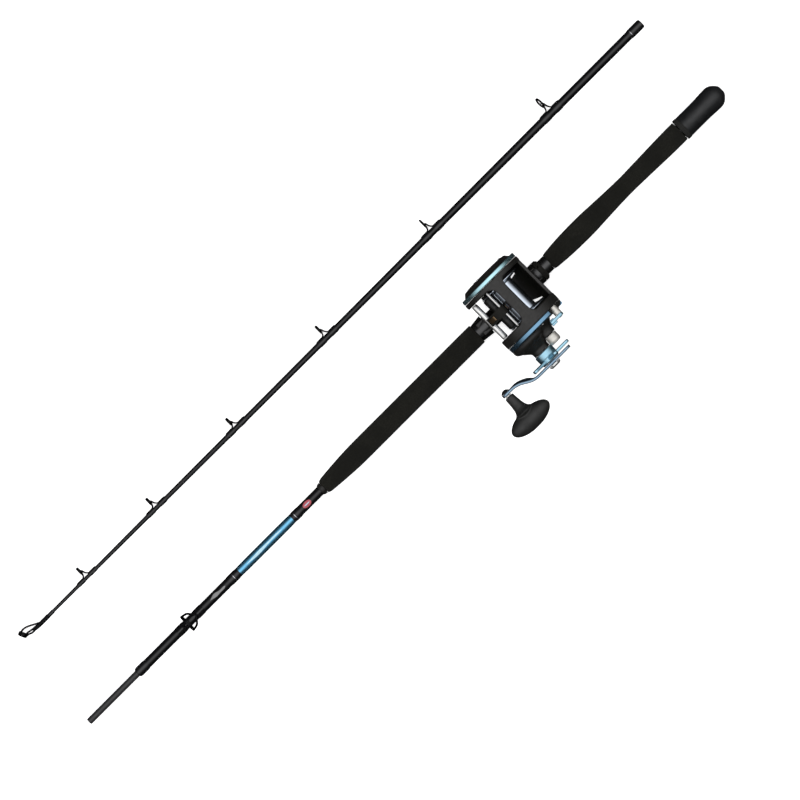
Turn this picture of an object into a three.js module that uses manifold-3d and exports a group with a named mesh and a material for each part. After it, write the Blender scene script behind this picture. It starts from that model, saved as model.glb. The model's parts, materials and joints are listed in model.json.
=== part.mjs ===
// Two-piece boat rod with a level-wind reel, taken apart at its joint.
// Millimetres, +Z up. +X runs along the rod towards the tip, +Y is the crank side.
// Z = 0 is the surface that both rod sections lie on.
import * as THREE from 'three';
import { mergeVertices } from 'three/addons/utils/BufferGeometryUtils.js';
import Module from 'manifold-3d';

const wasm = await Module();
wasm.setup();

// ---- driving dimensions -------------------------------------------------
const GAP = 0.3;              // clearance between touching pieces
const HALF_LENGTH = 563.5;    // butt end to spigot end, halved
const HALF_WIDTH = 147;       // knob to guide rings, halved
const KNOB_REACH = 136.5;     // rod axis to the outer face of the knob
const GUIDE_REACH = 26.8;     // tip axis to the outer edge of the largest guide ring
const BUTT_R = 16.4;          // widest radius of the butt cap
const ROD_Y = HALF_WIDTH - KNOB_REACH;
const ROD_Z = BUTT_R;
const TIP_Y = GUIDE_REACH - HALF_WIDTH;
const TIP_Z = 7.9;            // outer radius of the largest guide ring

// rod-relative places inside the butt section
const GRIP_END = -489.5;
const GRIP_START = -256;
const FORE_START = -126;
const FORE_END = 145.5;
const SHOULDER = 477;         // end of the painted blank, where the bare spigot comes out
const BLANK_WALL = 1.3;
const SEAT_R = 11;
const SEAT_FLAT_Z = 9;
const FOOT_TOP = 12.3;

// reel: side plates turn about PLATE_X, the spool about SPOOL_X, the crank about CRANK_X
const PLATE_R = 45;
const PLATE_X = -186;
const SPOOL_X = -191;
const SPOOL_Z = FOOT_TOP + GAP + PLATE_R;
const CRANK_X = -170;
const CRANK_Z = SPOOL_Z - 8;
const WORM_X = -167;
const WORM_Z = SPOOL_Z - 25.6;
const RAIL_X = -171;
const RAIL_Z = SPOOL_Z + 30;
const LEVER_X = -217;
const LEVER_Z = SPOOL_Z + 20;
const FLANGE_R = 30;
const LEFT_IN = -28;          // inner faces of the two frame rings
const RIGHT_IN = 29.5;
const CRANK_LENGTH = 70;      // crank axis to knob axis
const KNOB_X = CRANK_X + CRANK_LENGTH;

// gear teeth
const DRIVE_TEETH = 51;
const PINION_TEETH = 10;
const COG_TEETH = 8;
const IDLER_TEETH = 21;
const WORM_TEETH = 10;

// ---- materials ----------------------------------------------------------
const finish = (color, roughness, metalness = 0) => ({ color, roughness, metalness });
const FOAM = finish(0x1d1d1b, 0.95);
const RUBBER = finish(0x1b1c1e, 0.7);
const BLANK = finish(0x0b0b0c, 0.25);
const GRAPHITE = finish(0x2a2827, 0.55);
const BARE = finish(0x4b4b4c, 0.45);
const WIRE = finish(0x101012, 0.3, 0.6);
const RING = finish(0x16161a, 0.15);
const BLUE = finish(0x4f8fb8, 0.3, 0.9);
const TEAL = finish(0x5fb6c4, 0.3, 0.9);
const SILVER = finish(0xc9c8bf, 0.35, 0.9);
const STEEL = finish(0xb8babd, 0.25, 1);
const NAVY = finish(0x16233a, 0.3, 0.8);
const BRASS = finish(0xb08d45, 0.35, 1);
const BRONZE = finish(0x6d5238, 0.35, 0.5);

// ---- shape helpers ------------------------------------------------------
const V = (x, y, z) => new THREE.Vector3(x, y, z);

// Merges shared vertices, drops collapsed triangles and turns the faces outwards.
function closed(geometry) {
  const bare = geometry.clone();
  bare.deleteAttribute('uv');
  bare.deleteAttribute('normal');
  const merged = mergeVertices(bare, 1e-4);
  const at = merged.attributes.position;
  const source = merged.index.array;
  const kept = [];
  let volume = 0;
  for (let i = 0; i < source.length; i += 3) {
    const [a, b, c] = [source[i], source[i + 1], source[i + 2]];
    if (a === b || b === c || a === c) continue;
    kept.push(a, b, c);
    const [p, q, r] = [a, b, c].map((k) => V(0, 0, 0).fromBufferAttribute(at, k));
    volume += p.dot(q.cross(r));
  }
  if (volume < 0) {
    for (let i = 0; i < kept.length; i += 3) {
      [kept[i + 1], kept[i + 2]] = [kept[i + 2], kept[i + 1]];
    }
  }
  merged.setIndex(kept);
  return merged;
}

function toSolid(geometry) {
  const g = closed(geometry);
  const vertProperties = new Float32Array(g.attributes.position.array);
  const triVerts = new Uint32Array(g.index.array);
  return new wasm.Manifold(new wasm.Mesh({ numProp: 3, vertProperties, triVerts }));
}

function fromSolid(solid) {
  const mesh = solid.getMesh();
  const g = new THREE.BufferGeometry();
  g.setAttribute('position', new THREE.BufferAttribute(new Float32Array(mesh.vertProperties), 3));
  g.setIndex(new THREE.BufferAttribute(new Uint32Array(mesh.triVerts), 1));
  return g;
}

const join = (...shapes) => fromSolid(shapes.map(toSolid).reduce((a, b) => a.add(b)));
const cut = (base, ...tools) => fromSolid(tools.map(toSolid).reduce((a, b) => a.subtract(b),
  toSolid(base)));
const overlap = (a, b) => fromSolid(toSolid(a).intersect(toSolid(b)));

// A turned piece: profile is [place along the axis, radius] pairs, from axis to axis.
function turned(profile, axis, segments = 20) {
  const points = profile.map(([along, radius]) => new THREE.Vector2(radius, along));
  const g = new THREE.LatheGeometry(points, segments);
  if (axis === 'x') g.rotateZ(-Math.PI / 2);
  if (axis === 'z') g.rotateX(Math.PI / 2);
  return closed(g);
}

// A turned tube: outer profile from start to end, and a bore of one radius or of [start, end] radii.
function tube(profile, bore, axis, segments = 20) {
  const [r0, r1] = Array.isArray(bore) ? bore : [bore, bore];
  const first = profile[0];
  const last = profile[profile.length - 1];
  return turned([...profile, [last[0], r1], [first[0], r0], first], axis, segments);
}

const bar = (from, to, radius, axis, segments = 16) =>
  turned([[from, 0], [from, radius], [to, radius], [to, 0]], axis, segments);
const collar = (from, to, outer, inner, axis, segments = 20) =>
  tube([[from, outer], [to, outer]], inner, axis, segments);

function block(x0, x1, y0, y1, z0, z1) {
  const g = new THREE.BoxGeometry(Math.abs(x1 - x0), Math.abs(y1 - y0), Math.abs(z1 - z0));
  return g.translate((x0 + x1) / 2, (y0 + y1) / 2, (z0 + z1) / 2);
}

// A flat outline in the XZ plane, given as [x, z] pairs or a Shape, between two Y faces.
function slabY(outline, y0, y1) {
  const drawn = outline instanceof THREE.Shape;
  const shape = drawn ? outline : new THREE.Shape(outline.map(([x, z]) => new THREE.Vector2(x, z)));
  const g = new THREE.ExtrudeGeometry(shape, { depth: y1 - y0, bevelEnabled: false, curveSegments: 6 });
  return g.rotateX(Math.PI / 2).translate(0, y1, 0);
}

// A flat outline in plan, between two heights.
function slabZ(outline, z0, z1) {
  const shape = new THREE.Shape(outline.map(([x, y]) => new THREE.Vector2(x, y)));
  const g = new THREE.ExtrudeGeometry(shape, { depth: z1 - z0, bevelEnabled: false });
  return g.translate(0, 0, z0);
}

// A round wire through a few points.
function wire(points, radius, sides = 6, steps = 6) {
  const circle = new THREE.Shape();
  for (let i = 0; i < sides; i += 1) {
    const angle = (2 * Math.PI * i) / sides;
    const at = [radius * Math.cos(angle), radius * Math.sin(angle)];
    if (i === 0) circle.moveTo(...at);
    else circle.lineTo(...at);
  }
  circle.closePath();
  const path = new THREE.CatmullRomCurve3(points.map(([x, y, z]) => V(x, y, z)));
  return new THREE.ExtrudeGeometry(circle, { steps, bevelEnabled: false, extrudePath: path });
}

function torusX(x, y, z, radius, thickness, around = 16, section = 6) {
  const g = new THREE.TorusGeometry(radius, thickness, section, around);
  return g.rotateY(Math.PI / 2).translate(x, y, z);
}

// Toothed outline: narrow straight-sided teeth, with a tooth centred on angle `phase`.
function toothed(teeth, pitchR, out, inward, phase, width = 0.3) {
  const points = [];
  const pitch = (2 * Math.PI) / teeth;
  for (let i = 0; i < teeth; i += 1) {
    const mid = phase + i * pitch;
    const corners = [
      [mid - pitch * (width / 2 + 0.1), pitchR - inward],
      [mid - pitch * (width / 2 - 0.03), pitchR + out],
      [mid + pitch * (width / 2 - 0.03), pitchR + out],
      [mid + pitch * (width / 2 + 0.1), pitchR - inward],
    ];
    corners.forEach(([angle, r]) => points.push([r * Math.cos(angle), r * Math.sin(angle)]));
  }
  return points;
}

// A gear about an axis along Y, with a round bore.
function gear(teeth, pitchR, x, z, y0, y1, bore, phase) {
  const outline = toothed(teeth, pitchR, 0.3, 0.55, phase);
  const body = slabY(outline, y0, y1);
  return cut(body, bar(y0 - 1, y1 + 1, bore, 'y', 16)).translate(x, 0, z);
}

// ---- assembly helpers ---------------------------------------------------
const rodAndReel = new THREE.Group();
const butt = new THREE.Group();
butt.position.set(0, ROD_Y, ROD_Z);
const tip = new THREE.Group();
tip.position.set(0, TIP_Y, TIP_Z);
rodAndReel.add(butt, tip);

function add(group, name, geometry, look) {
  const mesh = new THREE.Mesh(closed(geometry), new THREE.MeshStandardMaterial(look));
  mesh.name = name;
  group.add(mesh);
}

// ---- butt section: blank, grips, spigot ---------------------------------
const blankR = (x) => {
  const [x0, r0, x1, r1] = x < FORE_END ? [GRIP_END, 7.2, FORE_END, 6.35] : [FORE_END, 6.35, SHOULDER, 6.1];
  return r0 + ((r1 - r0) * (x - x0)) / (x1 - x0);
};

function buttBlank() {
  const start = -551;
  const outer = [start, FORE_END, SHOULDER].map((x) => [x, blankR(x)]);
  return tube(outer, [blankR(start) - BLANK_WALL, blankR(SHOULDER) - BLANK_WALL], 'x');
}

function spigot() {
  const plug = 4.45;
  return turned([[438, 0], [438, plug], [HALF_LENGTH - 1, plug], [HALF_LENGTH, plug - 0.8],
    [HALF_LENGTH, 0]], 'x', 20);
}

function buttCap() {
  const socket = GRIP_END - 61;
  const flat = 5;
  const outer = [[GRIP_END - 1, 15.6], [-508, 15.1], [-520, 15.0], [-531, 15.2], [-539, 15.7],
    [-546, BUTT_R],
    [-552, 15.6], [-557.5, 12], [-561.5, 8], [-HALF_LENGTH, flat], [-HALF_LENGTH, 0]];
  const bore = blankR(-551) + GAP;
  return turned([[socket - 1, 0], [socket - 1, bore], [GRIP_END - 1, bore], ...outer], 'x', 24);
}

function rearGrip() {
  const outer = [[GRIP_END, 14.2], [-463, 14.0], [-425, 12.9], [-395, 12.15], [-372, 12.6], [-342, 13.9],
    [-327, 14.7], [-304, 14.8], [-281, 14.0], [-259.5, 12.4], [GRIP_START, 11.2]];
  return tube(outer, [blankR(GRIP_END) + GAP, blankR(GRIP_START) + GAP], 'x', 24);
}

function foregrip() {
  const outer = [[FORE_START, 13.2], [FORE_START + 2, 14.35], [82, 14.35], [96, 14.0], [112, 13.1],
    [127, 12.1],
    [138, 11.0], [143, 10.2], [FORE_END, 8.8]];
  return tube(outer, [blankR(FORE_START) + GAP, blankR(FORE_END) + GAP], 'x', 24);
}

function windingCheck() {
  const start = FORE_END + GAP;
  return tube([[start, 8.4], [start + 3, 8.1], [start + 5.5, 7.2]], blankR(start) + GAP, 'x');
}

add(butt, 'butt_blank', buttBlank(), BLANK);
add(butt, 'spigot', spigot(), BARE);
add(butt, 'butt_cap', buttCap(), RUBBER);
add(butt, 'rear_grip', rearGrip(), FOAM);
add(butt, 'foregrip', foregrip(), FOAM);
add(butt, 'winding_check', windingCheck(), GRAPHITE);

// ---- reel seat ----------------------------------------------------------
const HOOD_FRONT = [-127, -145];      // fixed hood, towards the foregrip
const HOOD_REAR = [-231, -238.2];     // sliding hood
const NUT = [-238.5, -245.5];
const FOOT_ENDS = [-134, -237];
const FOOT_HALF = 9;

function seatBody() {
  const outer = [[GRIP_START + GAP, SEAT_R - 0.2], [FORE_START - GAP, SEAT_R - 0.2]];
  const body = tube(outer, [blankR(GRIP_START) + GAP, blankR(FORE_START) + GAP], 'x', 24);
  const flat = block(FOOT_ENDS[1] - 1, FOOT_ENDS[0] + 1, -12, 12, SEAT_FLAT_Z, 20);
  return cut(body, flat);
}

function hood(profile, footFrom, footTo) {
  const shell = tube(profile, SEAT_R + 0.1, 'x', 24);
  const pocket = block(footFrom, footTo, -FOOT_HALF - GAP, FOOT_HALF + GAP, 0, FOOT_TOP + 0.2);
  return cut(shell, pocket);
}

const frontHood = () => hood([[HOOD_FRONT[1], 14.5], [HOOD_FRONT[0], 12.3]], HOOD_FRONT[1] - 1,
  FOOT_ENDS[0] + GAP);
const rearHood = () => hood([[HOOD_REAR[1], 14.8], [HOOD_REAR[0], 14.8]], FOOT_ENDS[1] - GAP,
  HOOD_REAR[0] + 1);

function lockNut() {
  const [front, rear] = NUT;
  const body = tube([[rear, 11.9], [rear + 3, 14.8], [front, 14.8]], SEAT_R + 0.1, 'x', 24);
  const notches = [0, 1, 2, 3, 4, 5, 6, 7].map((i) => {
    const angle = (i * Math.PI) / 4 + Math.PI / 8;
    return bar(rear + 3.2, front - 1.2, 1.2, 'x', 8).translate(0, 15.4 * Math.cos(angle),
      15.4 * Math.sin(angle));
  });
  return cut(body, ...notches);
}

function reelFoot() {
  const [front, rear] = FOOT_ENDS;
  const z0 = SEAT_FLAT_Z + GAP;
  const side = [[rear, z0], [front, z0], [front, z0 + 1.6], [front - 16, FOOT_TOP], [rear + 9, FOOT_TOP],
    [rear, z0 + 1.6]];
  return slabY(side, -FOOT_HALF, FOOT_HALF);
}

add(butt, 'reel_seat_body', seatBody(), GRAPHITE);
add(butt, 'seat_front_hood', frontHood(), GRAPHITE);
add(butt, 'seat_sliding_hood', rearHood(), GRAPHITE);
add(butt, 'seat_lock_nut', lockNut(), GRAPHITE);
add(butt, 'reel_foot', reelFoot(), GRAPHITE);

// ---- line guides --------------------------------------------------------
// A double-foot guide standing up from a blank: two short front legs, two long rear legs.
// ringX is the ring's place along the blank and ringZ its height above the blank's axis.
function guideFrame({ ringX, ringZ, ringR, wireR, footZ, frontX, rearX, footLength }) {
  const low = ringZ - ringR * 0.8;
  const spread = ringR * 0.6;
  const legs = [-1, 1].flatMap((side) => [
    wire([[ringX, side * spread, low], [frontX, side * 1.2, footZ]], wireR, 5, 1),
    wire([[ringX, side * ringR * 0.9, ringZ - ringR * 0.35], [rearX, side * 1.2, footZ]], wireR, 5, 1),
  ]);
  const feet = [
    block(frontX - 1, frontX + footLength, -1.7, 1.7, footZ - 0.5, footZ + 0.6),
    block(rearX - footLength, rearX + 1, -1.7, 1.7, footZ - 0.5, footZ + 0.6),
  ];
  return join(torusX(ringX, 0, ringZ, ringR, wireR * 1.15), ...legs, ...feet);
}

const stripper = { ringX: 387, ringZ: 19.5, ringR: 11.2, wireR: 1.1, footZ: 7.1, frontX: 392.5,
  rearX: 373, footLength: 11 };
function stripperRing() {
  return collar(stripper.ringX - 1.8, stripper.ringX + 1.8, 9.2, 8, 'x', 24).translate(0, 0,
    stripper.ringZ);
}
add(butt, 'stripper_guide_frame', guideFrame(stripper), WIRE);
add(butt, 'stripper_guide_ring', stripperRing(), RING);

// ---- tip section --------------------------------------------------------
const TIP_START = -552;
const SLEEVE_END = -530;
const tipR = (x) => {
  const known = [[TIP_START, 5.65], [-510, 5.65], [-368, 5.35], [-136, 4.55], [116, 3.65], [287, 3.15],
    [410, 2.55], [520, 2.1]];
  const i = Math.max(1, known.findIndex(([at]) => at >= x));
  const [[x0, r0], [x1, r1]] = [known[i - 1], known[i]];
  return r0 + ((r1 - r0) * (x - x0)) / (x1 - x0);
};

const SOCKET_R = 4.45 + GAP;
const SOCKET_END = -464;
function tipBlank() {
  const outer = [-552, -510, -368, -136, 116, 287, 410, 519.5].map((x) => [x, tipR(x)]);
  return turned([[SOCKET_END, 0], [SOCKET_END, SOCKET_R], [TIP_START, SOCKET_R], ...outer,
    [519.5, 0]], 'x', 20);
}

function ferruleSleeve() {
  const outer = [[TIP_START + 1, 6.35], [SLEEVE_END - 3, 6.35], [SLEEVE_END, 6.1]];
  return tube(outer, tipR(TIP_START) + 0.25, 'x', 24);
}

// [place along the blank, outer edge of the ring above the blank's axis, outer radius of the ring]
const GUIDES = [[-390, 26.8, 7.9], [-178, 22.6, 7.0], [9.5, 20.9, 6.4], [171.5, 18.2, 5.9],
  [314, 18.2, 5.6], [438, 17.9, 5.5]];
function tipGuide([x, reach, outer]) {
  const wireR = 0.75;
  const guide = guideFrame({
    ringX: x, ringZ: reach - outer, ringR: outer - wireR * 1.15, wireR, footZ: tipR(x) + 0.85,
    frontX: x + 2.5, rearX: x - 6.5, footLength: 10,
  });
  return guide.rotateX(Math.PI / 2);
}

const TOP_RING = { x: 545, reach: 6.2, radius: 4.9, lean: 0.42 };
function tipTopFrame() {
  const { x, reach, radius, lean } = TOP_RING;
  const socket = cut(bar(505, 524, 2.95, 'x', 16), bar(500, 521, tipR(519) + GAP, 'x', 16));
  const ring = torusX(0, 0, 0, radius, 1.25).rotateY(lean).translate(x, 0, reach);
  const legs = [-1, 1].map((side) =>
    wire([[x + 1.3, side * 3.9, reach + 3.2], [534, side * 3.4, 9.2], [528, side * 2.6, 6.6],
      [522.6, side * 1.5, 1.6]], 1, 5, 4));
  const strut = wire([[x - 2, 0, reach - 4.6], [535, 0, 0.4], [523, 0, 0]], 1.2, 5, 3);
  return join(socket, ring, ...legs, strut).rotateX(Math.PI / 2);
}

function tipTopRing() {
  const ring = collar(-1.3, 1.3, 3.4, 2.3, 'x', 20);
  return ring.rotateY(TOP_RING.lean).translate(TOP_RING.x, 0, TOP_RING.reach).rotateX(Math.PI / 2);
}

add(tip, 'tip_blank', tipBlank(), BLANK);
add(tip, 'ferrule_sleeve', ferruleSleeve(), BLANK);
GUIDES.forEach((guide, i) => add(tip, `guide_${i + 1}`, tipGuide(guide), WIRE));
add(tip, 'tip_top_frame', tipTopFrame(), WIRE);
add(tip, 'tip_top_ring', tipTopRing(), RING);

// ---- reel frame and side plates -----------------------------------------
const atPlate = (g) => g.translate(PLATE_X, 0, SPOOL_Z);
const atSpool = (g) => g.translate(SPOOL_X, 0, SPOOL_Z);
const atCrank = (g) => g.translate(CRANK_X, 0, CRANK_Z);

function reelFrame() {
  const inner = 31;
  const left = tube([[-35, 44], [-34, PLATE_R], [-29, PLATE_R], [LEFT_IN, 44]], inner, 'y', 36);
  const right = tube([[RIGHT_IN, 44], [RIGHT_IN + 1, PLATE_R], [42, PLATE_R]], inner, 'y', 36);
  const shell = collar(LEFT_IN - 1, RIGHT_IN + 1, PLATE_R, PLATE_R - 4, 'y', 36);
  // plans of the crosspieces, relative to the plate centre
  const topPlan = [[-9, -29], [-15, -29], [-12, -24], [-9.8, -19], [-9.8, 20], [-12, 25], [-15, 30.4],
    [13, 30.4],
    [7, 25], [5, 20], [5, -19], [7, -24], [13, -29]];
  const bottomPlan = [[36, -9.4], [36, 9.4], [17, 9.4], [17, 30.4], [-43.4, 30.4], [-43.4, -29],
    [17, -29], [17, -9.4]];
  const drains = [
    [[-16, 17], [-17, 21.9], [-26, 24.8], [-33.3, 25.4], [-33, 24.6]],
    [[-16.5, -17.5], [-29, -20.3], [-29, -22.4], [-22, -22.4], [-17, -20]],
  ];
  const top = overlap(shell.clone(), slabZ(topPlan, 20, 50));
  const floor = overlap(shell.clone(), slabZ(bottomPlan, -50, -8));
  const bottom = cut(floor, ...drains.map((plan) => slabZ(plan, -50, -8)));
  const rear = overlap(bar(LEFT_IN - 1, RIGHT_IN + 1, PLATE_R - 0.4, 'y', 36), block(-44.6, -40.4, -29,
    31, 2, 11));
  const wormHole = bar(-36, LEFT_IN + 1, 3.9, 'y', 16).translate(WORM_X - PLATE_X, 0, WORM_Z - SPOOL_Z);
  return atPlate(cut(join(left, right, top, bottom, rear), wormHole));
}

const TRIM_R = PLATE_R - 0.3;
const TRIM_IN = 38.9;
const COVER_R = TRIM_IN - GAP;

// level-wind gear train on the left: spool cog, idler, worm gear on one line
const trainAngle = Math.atan2(WORM_Z - SPOOL_Z, WORM_X - SPOOL_X);
const trainLength = Math.hypot(WORM_Z - SPOOL_Z, WORM_X - SPOOL_X);
const trainUnit = trainLength / (COG_TEETH + 2 * IDLER_TEETH + WORM_TEETH);
const idlerReach = trainUnit * (COG_TEETH + IDLER_TEETH);
const IDLER_X = SPOOL_X + idlerReach * Math.cos(trainAngle);
const IDLER_Z = SPOOL_Z + idlerReach * Math.sin(trainAngle);

function leftPlate() {
  const dome = atPlate(turned([[-47.8, 0], [-47.5, 22], [-46.2, 34], [-41.2, COVER_R], [-35.3, COVER_R],
    [-35.3, 35.8],
    [-43.4, 35.8], [-43.4, 0]], 'y', 32));
  const boss = atSpool(bar(-44, -40.6, 8, 'y'));
  const pocket = atSpool(bar(-45, -40, 5.3, 'y', 16));
  const post = bar(-44, -36.7, 2, 'y', 12).translate(IDLER_X, 0, IDLER_Z);
  const wormPocket = bar(-42, -35, 6.7, 'y').translate(WORM_X, 0, WORM_Z);
  return cut(join(dome, boss, post), pocket, wormPocket);
}

const leftTrim = () => atPlate(collar(-41, -35.3, TRIM_R, TRIM_IN, 'y', 36));

const leverNotch = (r) => bar(42, 60, r, 'y').translate(LEVER_X, 0, LEVER_Z);
function rightTrim() {
  const slot = slabY([[-5.3, 0], [5.3, 0], [5.3, 30], [-5.3, 30]], 42, 60).translate(LEVER_X, 0, LEVER_Z);
  return cut(atPlate(collar(42.3, 48.5, TRIM_R, TRIM_IN, 'y', 36)), leverNotch(5.3), slot);
}

// gearbox cover: a disc, a stepped dome over the crank gear and a boss over the spool's end
function rightPlate() {
  const disc = atPlate(turned([[42.3, 0], [42.3, COVER_R], [48.2, COVER_R], [49.4, 36.8],
    [49.4, 0]], 'y', 32));
  const steps = [[42.3, 0], [42.3, 28], [51.5, 28.6], [54.6, 27.7], [57.3, 25.3], [59.6, 21], [65.5, 14.3],
    [67, 12.9], [73.6, 12.4], [73.6, 0]];
  const dome = overlap(atCrank(turned(steps, 'y', 24)), atPlate(bar(48.6, 80, TRIM_R, 'y', 32)));
  const boss = atSpool(turned([[45, 0], [45, 9.5], [64, 9.5], [65, 8.6], [65, 5.2], [70, 5.2],
    [70, 0]], 'y'));
  const room = atCrank(turned([[41, 0], [41, 25.4], [51, 25.4], [57, 18], [62, 12.5], [62, 9.3],
    [71.6, 9.3], [71.6, 4],
    [75, 4], [75, 0]], 'y'));
  const discRoom = atPlate(bar(41, 46.4, 35.6, 'y', 32));
  const spoolRoom = atSpool(turned([[41, 0], [41, 7], [58.4, 7], [58.4, 5.3], [62.3, 5.3], [62.3, 2.6],
    [72, 2.6], [72, 0]], 'y', 16));
  return cut(join(disc, dome, boss), room, discRoom, spoolRoom, leverNotch(5.3));
}

add(butt, 'reel_frame', reelFrame(), GRAPHITE);
add(butt, 'left_side_plate', leftPlate(), GRAPHITE);
add(butt, 'left_trim_ring', leftTrim(), TEAL);
add(butt, 'right_side_plate', rightPlate(), GRAPHITE);
add(butt, 'right_trim_ring', rightTrim(), BLUE);
add(butt, 'lever_post', bar(42.3, 54, 5, 'y').translate(LEVER_X, 0, LEVER_Z), SILVER);

// ---- bars between the frame rings ---------------------------------------
const BAR_ENDS = [LEFT_IN + GAP, RIGHT_IN - GAP];
const FRONT_BAR = { x: -149.5, z: SPOOL_Z - 14, r: 4 };
const RAIL_R = 1.5;
const WORM_TUBE_R = 6.4;        // between the spool's flanges
const WORM_TUBE_END_R = 4.6;    // beside them
const WORM_R = 3;

function wormTube() {
  const outer = [[BAR_ENDS[0], WORM_TUBE_END_R], [-22, WORM_TUBE_END_R], [-22, WORM_TUBE_R],
    [25.8, WORM_TUBE_R], [25.8, WORM_TUBE_END_R], [BAR_ENDS[1], WORM_TUBE_END_R]];
  const pipe = tube(outer, WORM_R + 0.5, 'y', 20);
  const slot = block(-2.4, 2.4, BAR_ENDS[0] + 3, BAR_ENDS[1] - 3, -WORM_TUBE_R - 1, -1);
  return cut(pipe, slot).translate(WORM_X, 0, WORM_Z);
}

add(butt, 'front_bar', bar(...BAR_ENDS, FRONT_BAR.r, 'y', 24).translate(FRONT_BAR.x, 0, FRONT_BAR.z),
  STEEL);
add(butt, 'guide_rail', bar(...BAR_ENDS, RAIL_R, 'y', 12).translate(RAIL_X, 0, RAIL_Z), STEEL);
add(butt, 'worm_tube', wormTube(), GRAPHITE);

// ---- line guide ---------------------------------------------------------
const GUIDE_Y = [-4, 8];
const EYE = { y0: -2, y1: 6, z0: SPOOL_Z - 6, z1: SPOOL_Z + 15 };
const LINING = 1.4;

function lineGuide() {
  const side = [[-147.5, 49], [-154.5, 49], [-156.5, 45.5], [-158.3, 38], [-158.3, 28],
    [-160.2, 26.2], [-164, 24.1], [-173.5, 23.6], [-175.5, 25.6], [-175.5, 36.5], [-170, 41],
    [-163.5, 43.5], [-160.5, 47], [-160.5, 77], [-166, 82], [-173, 83.5], [-174.8, 86],
    [-174.8, 90], [-172, 91.6], [-168, 91.6], [-158, 86.5], [-147.5, 74]];
  const body = slabY(side, ...GUIDE_Y);
  const wormHole = bar(-10, 12, WORM_TUBE_R + GAP, 'y').translate(WORM_X, 0, WORM_Z);
  const railHole = bar(-10, 12, RAIL_R + GAP, 'y', 12).translate(RAIL_X, 0, RAIL_Z);
  const eye = block(-170, -140, EYE.y0, EYE.y1, EYE.z0, EYE.z1);
  const middle = (GUIDE_Y[0] + GUIDE_Y[1]) / 2;
  const pawlHole = bar(22, 28, 2.3, 'z', 12).translate(WORM_X, middle, 0);
  return cut(body, wormHole, railHole, eye, pawlHole);
}

function lineGuideInsert() {
  const { y0, y1, z0, z1 } = EYE;
  const outer = block(-159.6, -148.4, y0 + GAP, y1 - GAP, z0 + GAP, z1 - GAP);
  return cut(outer, block(-170, -140, y0 + LINING, y1 - LINING, z0 + LINING, z1 - LINING));
}

const pawl = () => bar(24.6, WORM_Z - WORM_R - GAP, 2, 'z', 12).translate(WORM_X,
  (GUIDE_Y[0] + GUIDE_Y[1]) / 2, 0);

add(butt, 'line_guide', lineGuide(), GRAPHITE);
add(butt, 'line_guide_insert', lineGuideInsert(), BRONZE);
add(butt, 'level_wind_pawl', pawl(), STEEL);

// ---- spool and gear trains ----------------------------------------------
const SHAFT_R = 2.2;
const driveAngle = Math.atan2(SPOOL_Z - CRANK_Z, SPOOL_X - CRANK_X);
const driveLength = Math.hypot(SPOOL_Z - CRANK_Z, SPOOL_X - CRANK_X);
const driveUnit = driveLength / (DRIVE_TEETH + PINION_TEETH);
const DRIVE_SHAFT_R = 3.6;
const DRIVE_BORE = DRIVE_SHAFT_R + GAP;

function spool() {
  const outer = [[-25, 8], [-24.3, FLANGE_R], [-22.8, FLANGE_R], [-20.8, 16], [24.8, 16], [26.6, FLANGE_R],
    [28, FLANGE_R], [28.7, 8]];
  return atSpool(tube(outer, SHAFT_R + GAP, 'y', 28));
}

function pinion() {
  const toothedPart = gear(PINION_TEETH, driveUnit * PINION_TEETH, 0, 0, 43.6, 48.6, SHAFT_R + GAP,
    driveAngle + Math.PI + Math.PI / PINION_TEETH);
  return atSpool(join(toothedPart, collar(48.2, 56, 3.3, SHAFT_R + GAP, 'y', 16)));
}

add(butt, 'spool', spool(), NAVY);
add(butt, 'spool_shaft', atSpool(bar(-44.4, 64.6, SHAFT_R, 'y', 12)), STEEL);
add(butt, 'spool_bearing_left', atSpool(collar(-44.6, -41.2, 5, SHAFT_R + GAP, 'y', 16)), STEEL);
add(butt, 'spool_bearing_right', atSpool(collar(58.8, 62, 5, SHAFT_R + GAP, 'y', 16)), STEEL);
add(butt, 'pinion', pinion(), BRASS);
const TRAIN_Y = [-40, -36.6];
add(butt, 'spool_cog', gear(COG_TEETH, trainUnit * COG_TEETH, SPOOL_X, SPOOL_Z, ...TRAIN_Y, SHAFT_R + GAP,
  trainAngle + Math.PI / COG_TEETH), RUBBER);
add(butt, 'idler_gear', gear(IDLER_TEETH, trainUnit * IDLER_TEETH, IDLER_X, IDLER_Z, ...TRAIN_Y, 2 + GAP,
  trainAngle + Math.PI), RUBBER);
add(butt, 'worm_gear', gear(WORM_TEETH, trainUnit * WORM_TEETH, WORM_X, WORM_Z, ...TRAIN_Y,
  WORM_R - 0.9 + GAP,
  trainAngle + Math.PI), RUBBER);
const wormShaft = () => turned([[-40.4, 0], [-40.4, WORM_R - 0.9], [-36, WORM_R - 0.9], [-36, WORM_R],
  [29, WORM_R], [29, 0]], 'y', 12);
add(butt, 'worm_shaft', wormShaft().translate(WORM_X, 0, WORM_Z), STEEL);

add(butt, 'drive_gear', gear(DRIVE_TEETH, driveUnit * DRIVE_TEETH, CRANK_X, CRANK_Z, 44, 47.4, DRIVE_BORE,
  driveAngle), BRASS);
add(butt, 'drag_washer', atCrank(collar(47.7, 49.6, 16, DRIVE_BORE, 'y')), FOAM);
add(butt, 'pressure_plate', atCrank(collar(49.9, 51.6, 15, DRIVE_BORE, 'y')), STEEL);
add(butt, 'drive_shaft', atCrank(bar(43, 97, DRIVE_SHAFT_R, 'y', 16)), STEEL);
add(butt, 'roller_clutch', atCrank(collar(62.6, 71.3, 9, DRIVE_BORE, 'y')), STEEL);

// ---- crank side ---------------------------------------------------------
const STAR = { hubR: 13.7, reach: 33, arms: 5, y0: 83.6, y1: 88 };

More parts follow.
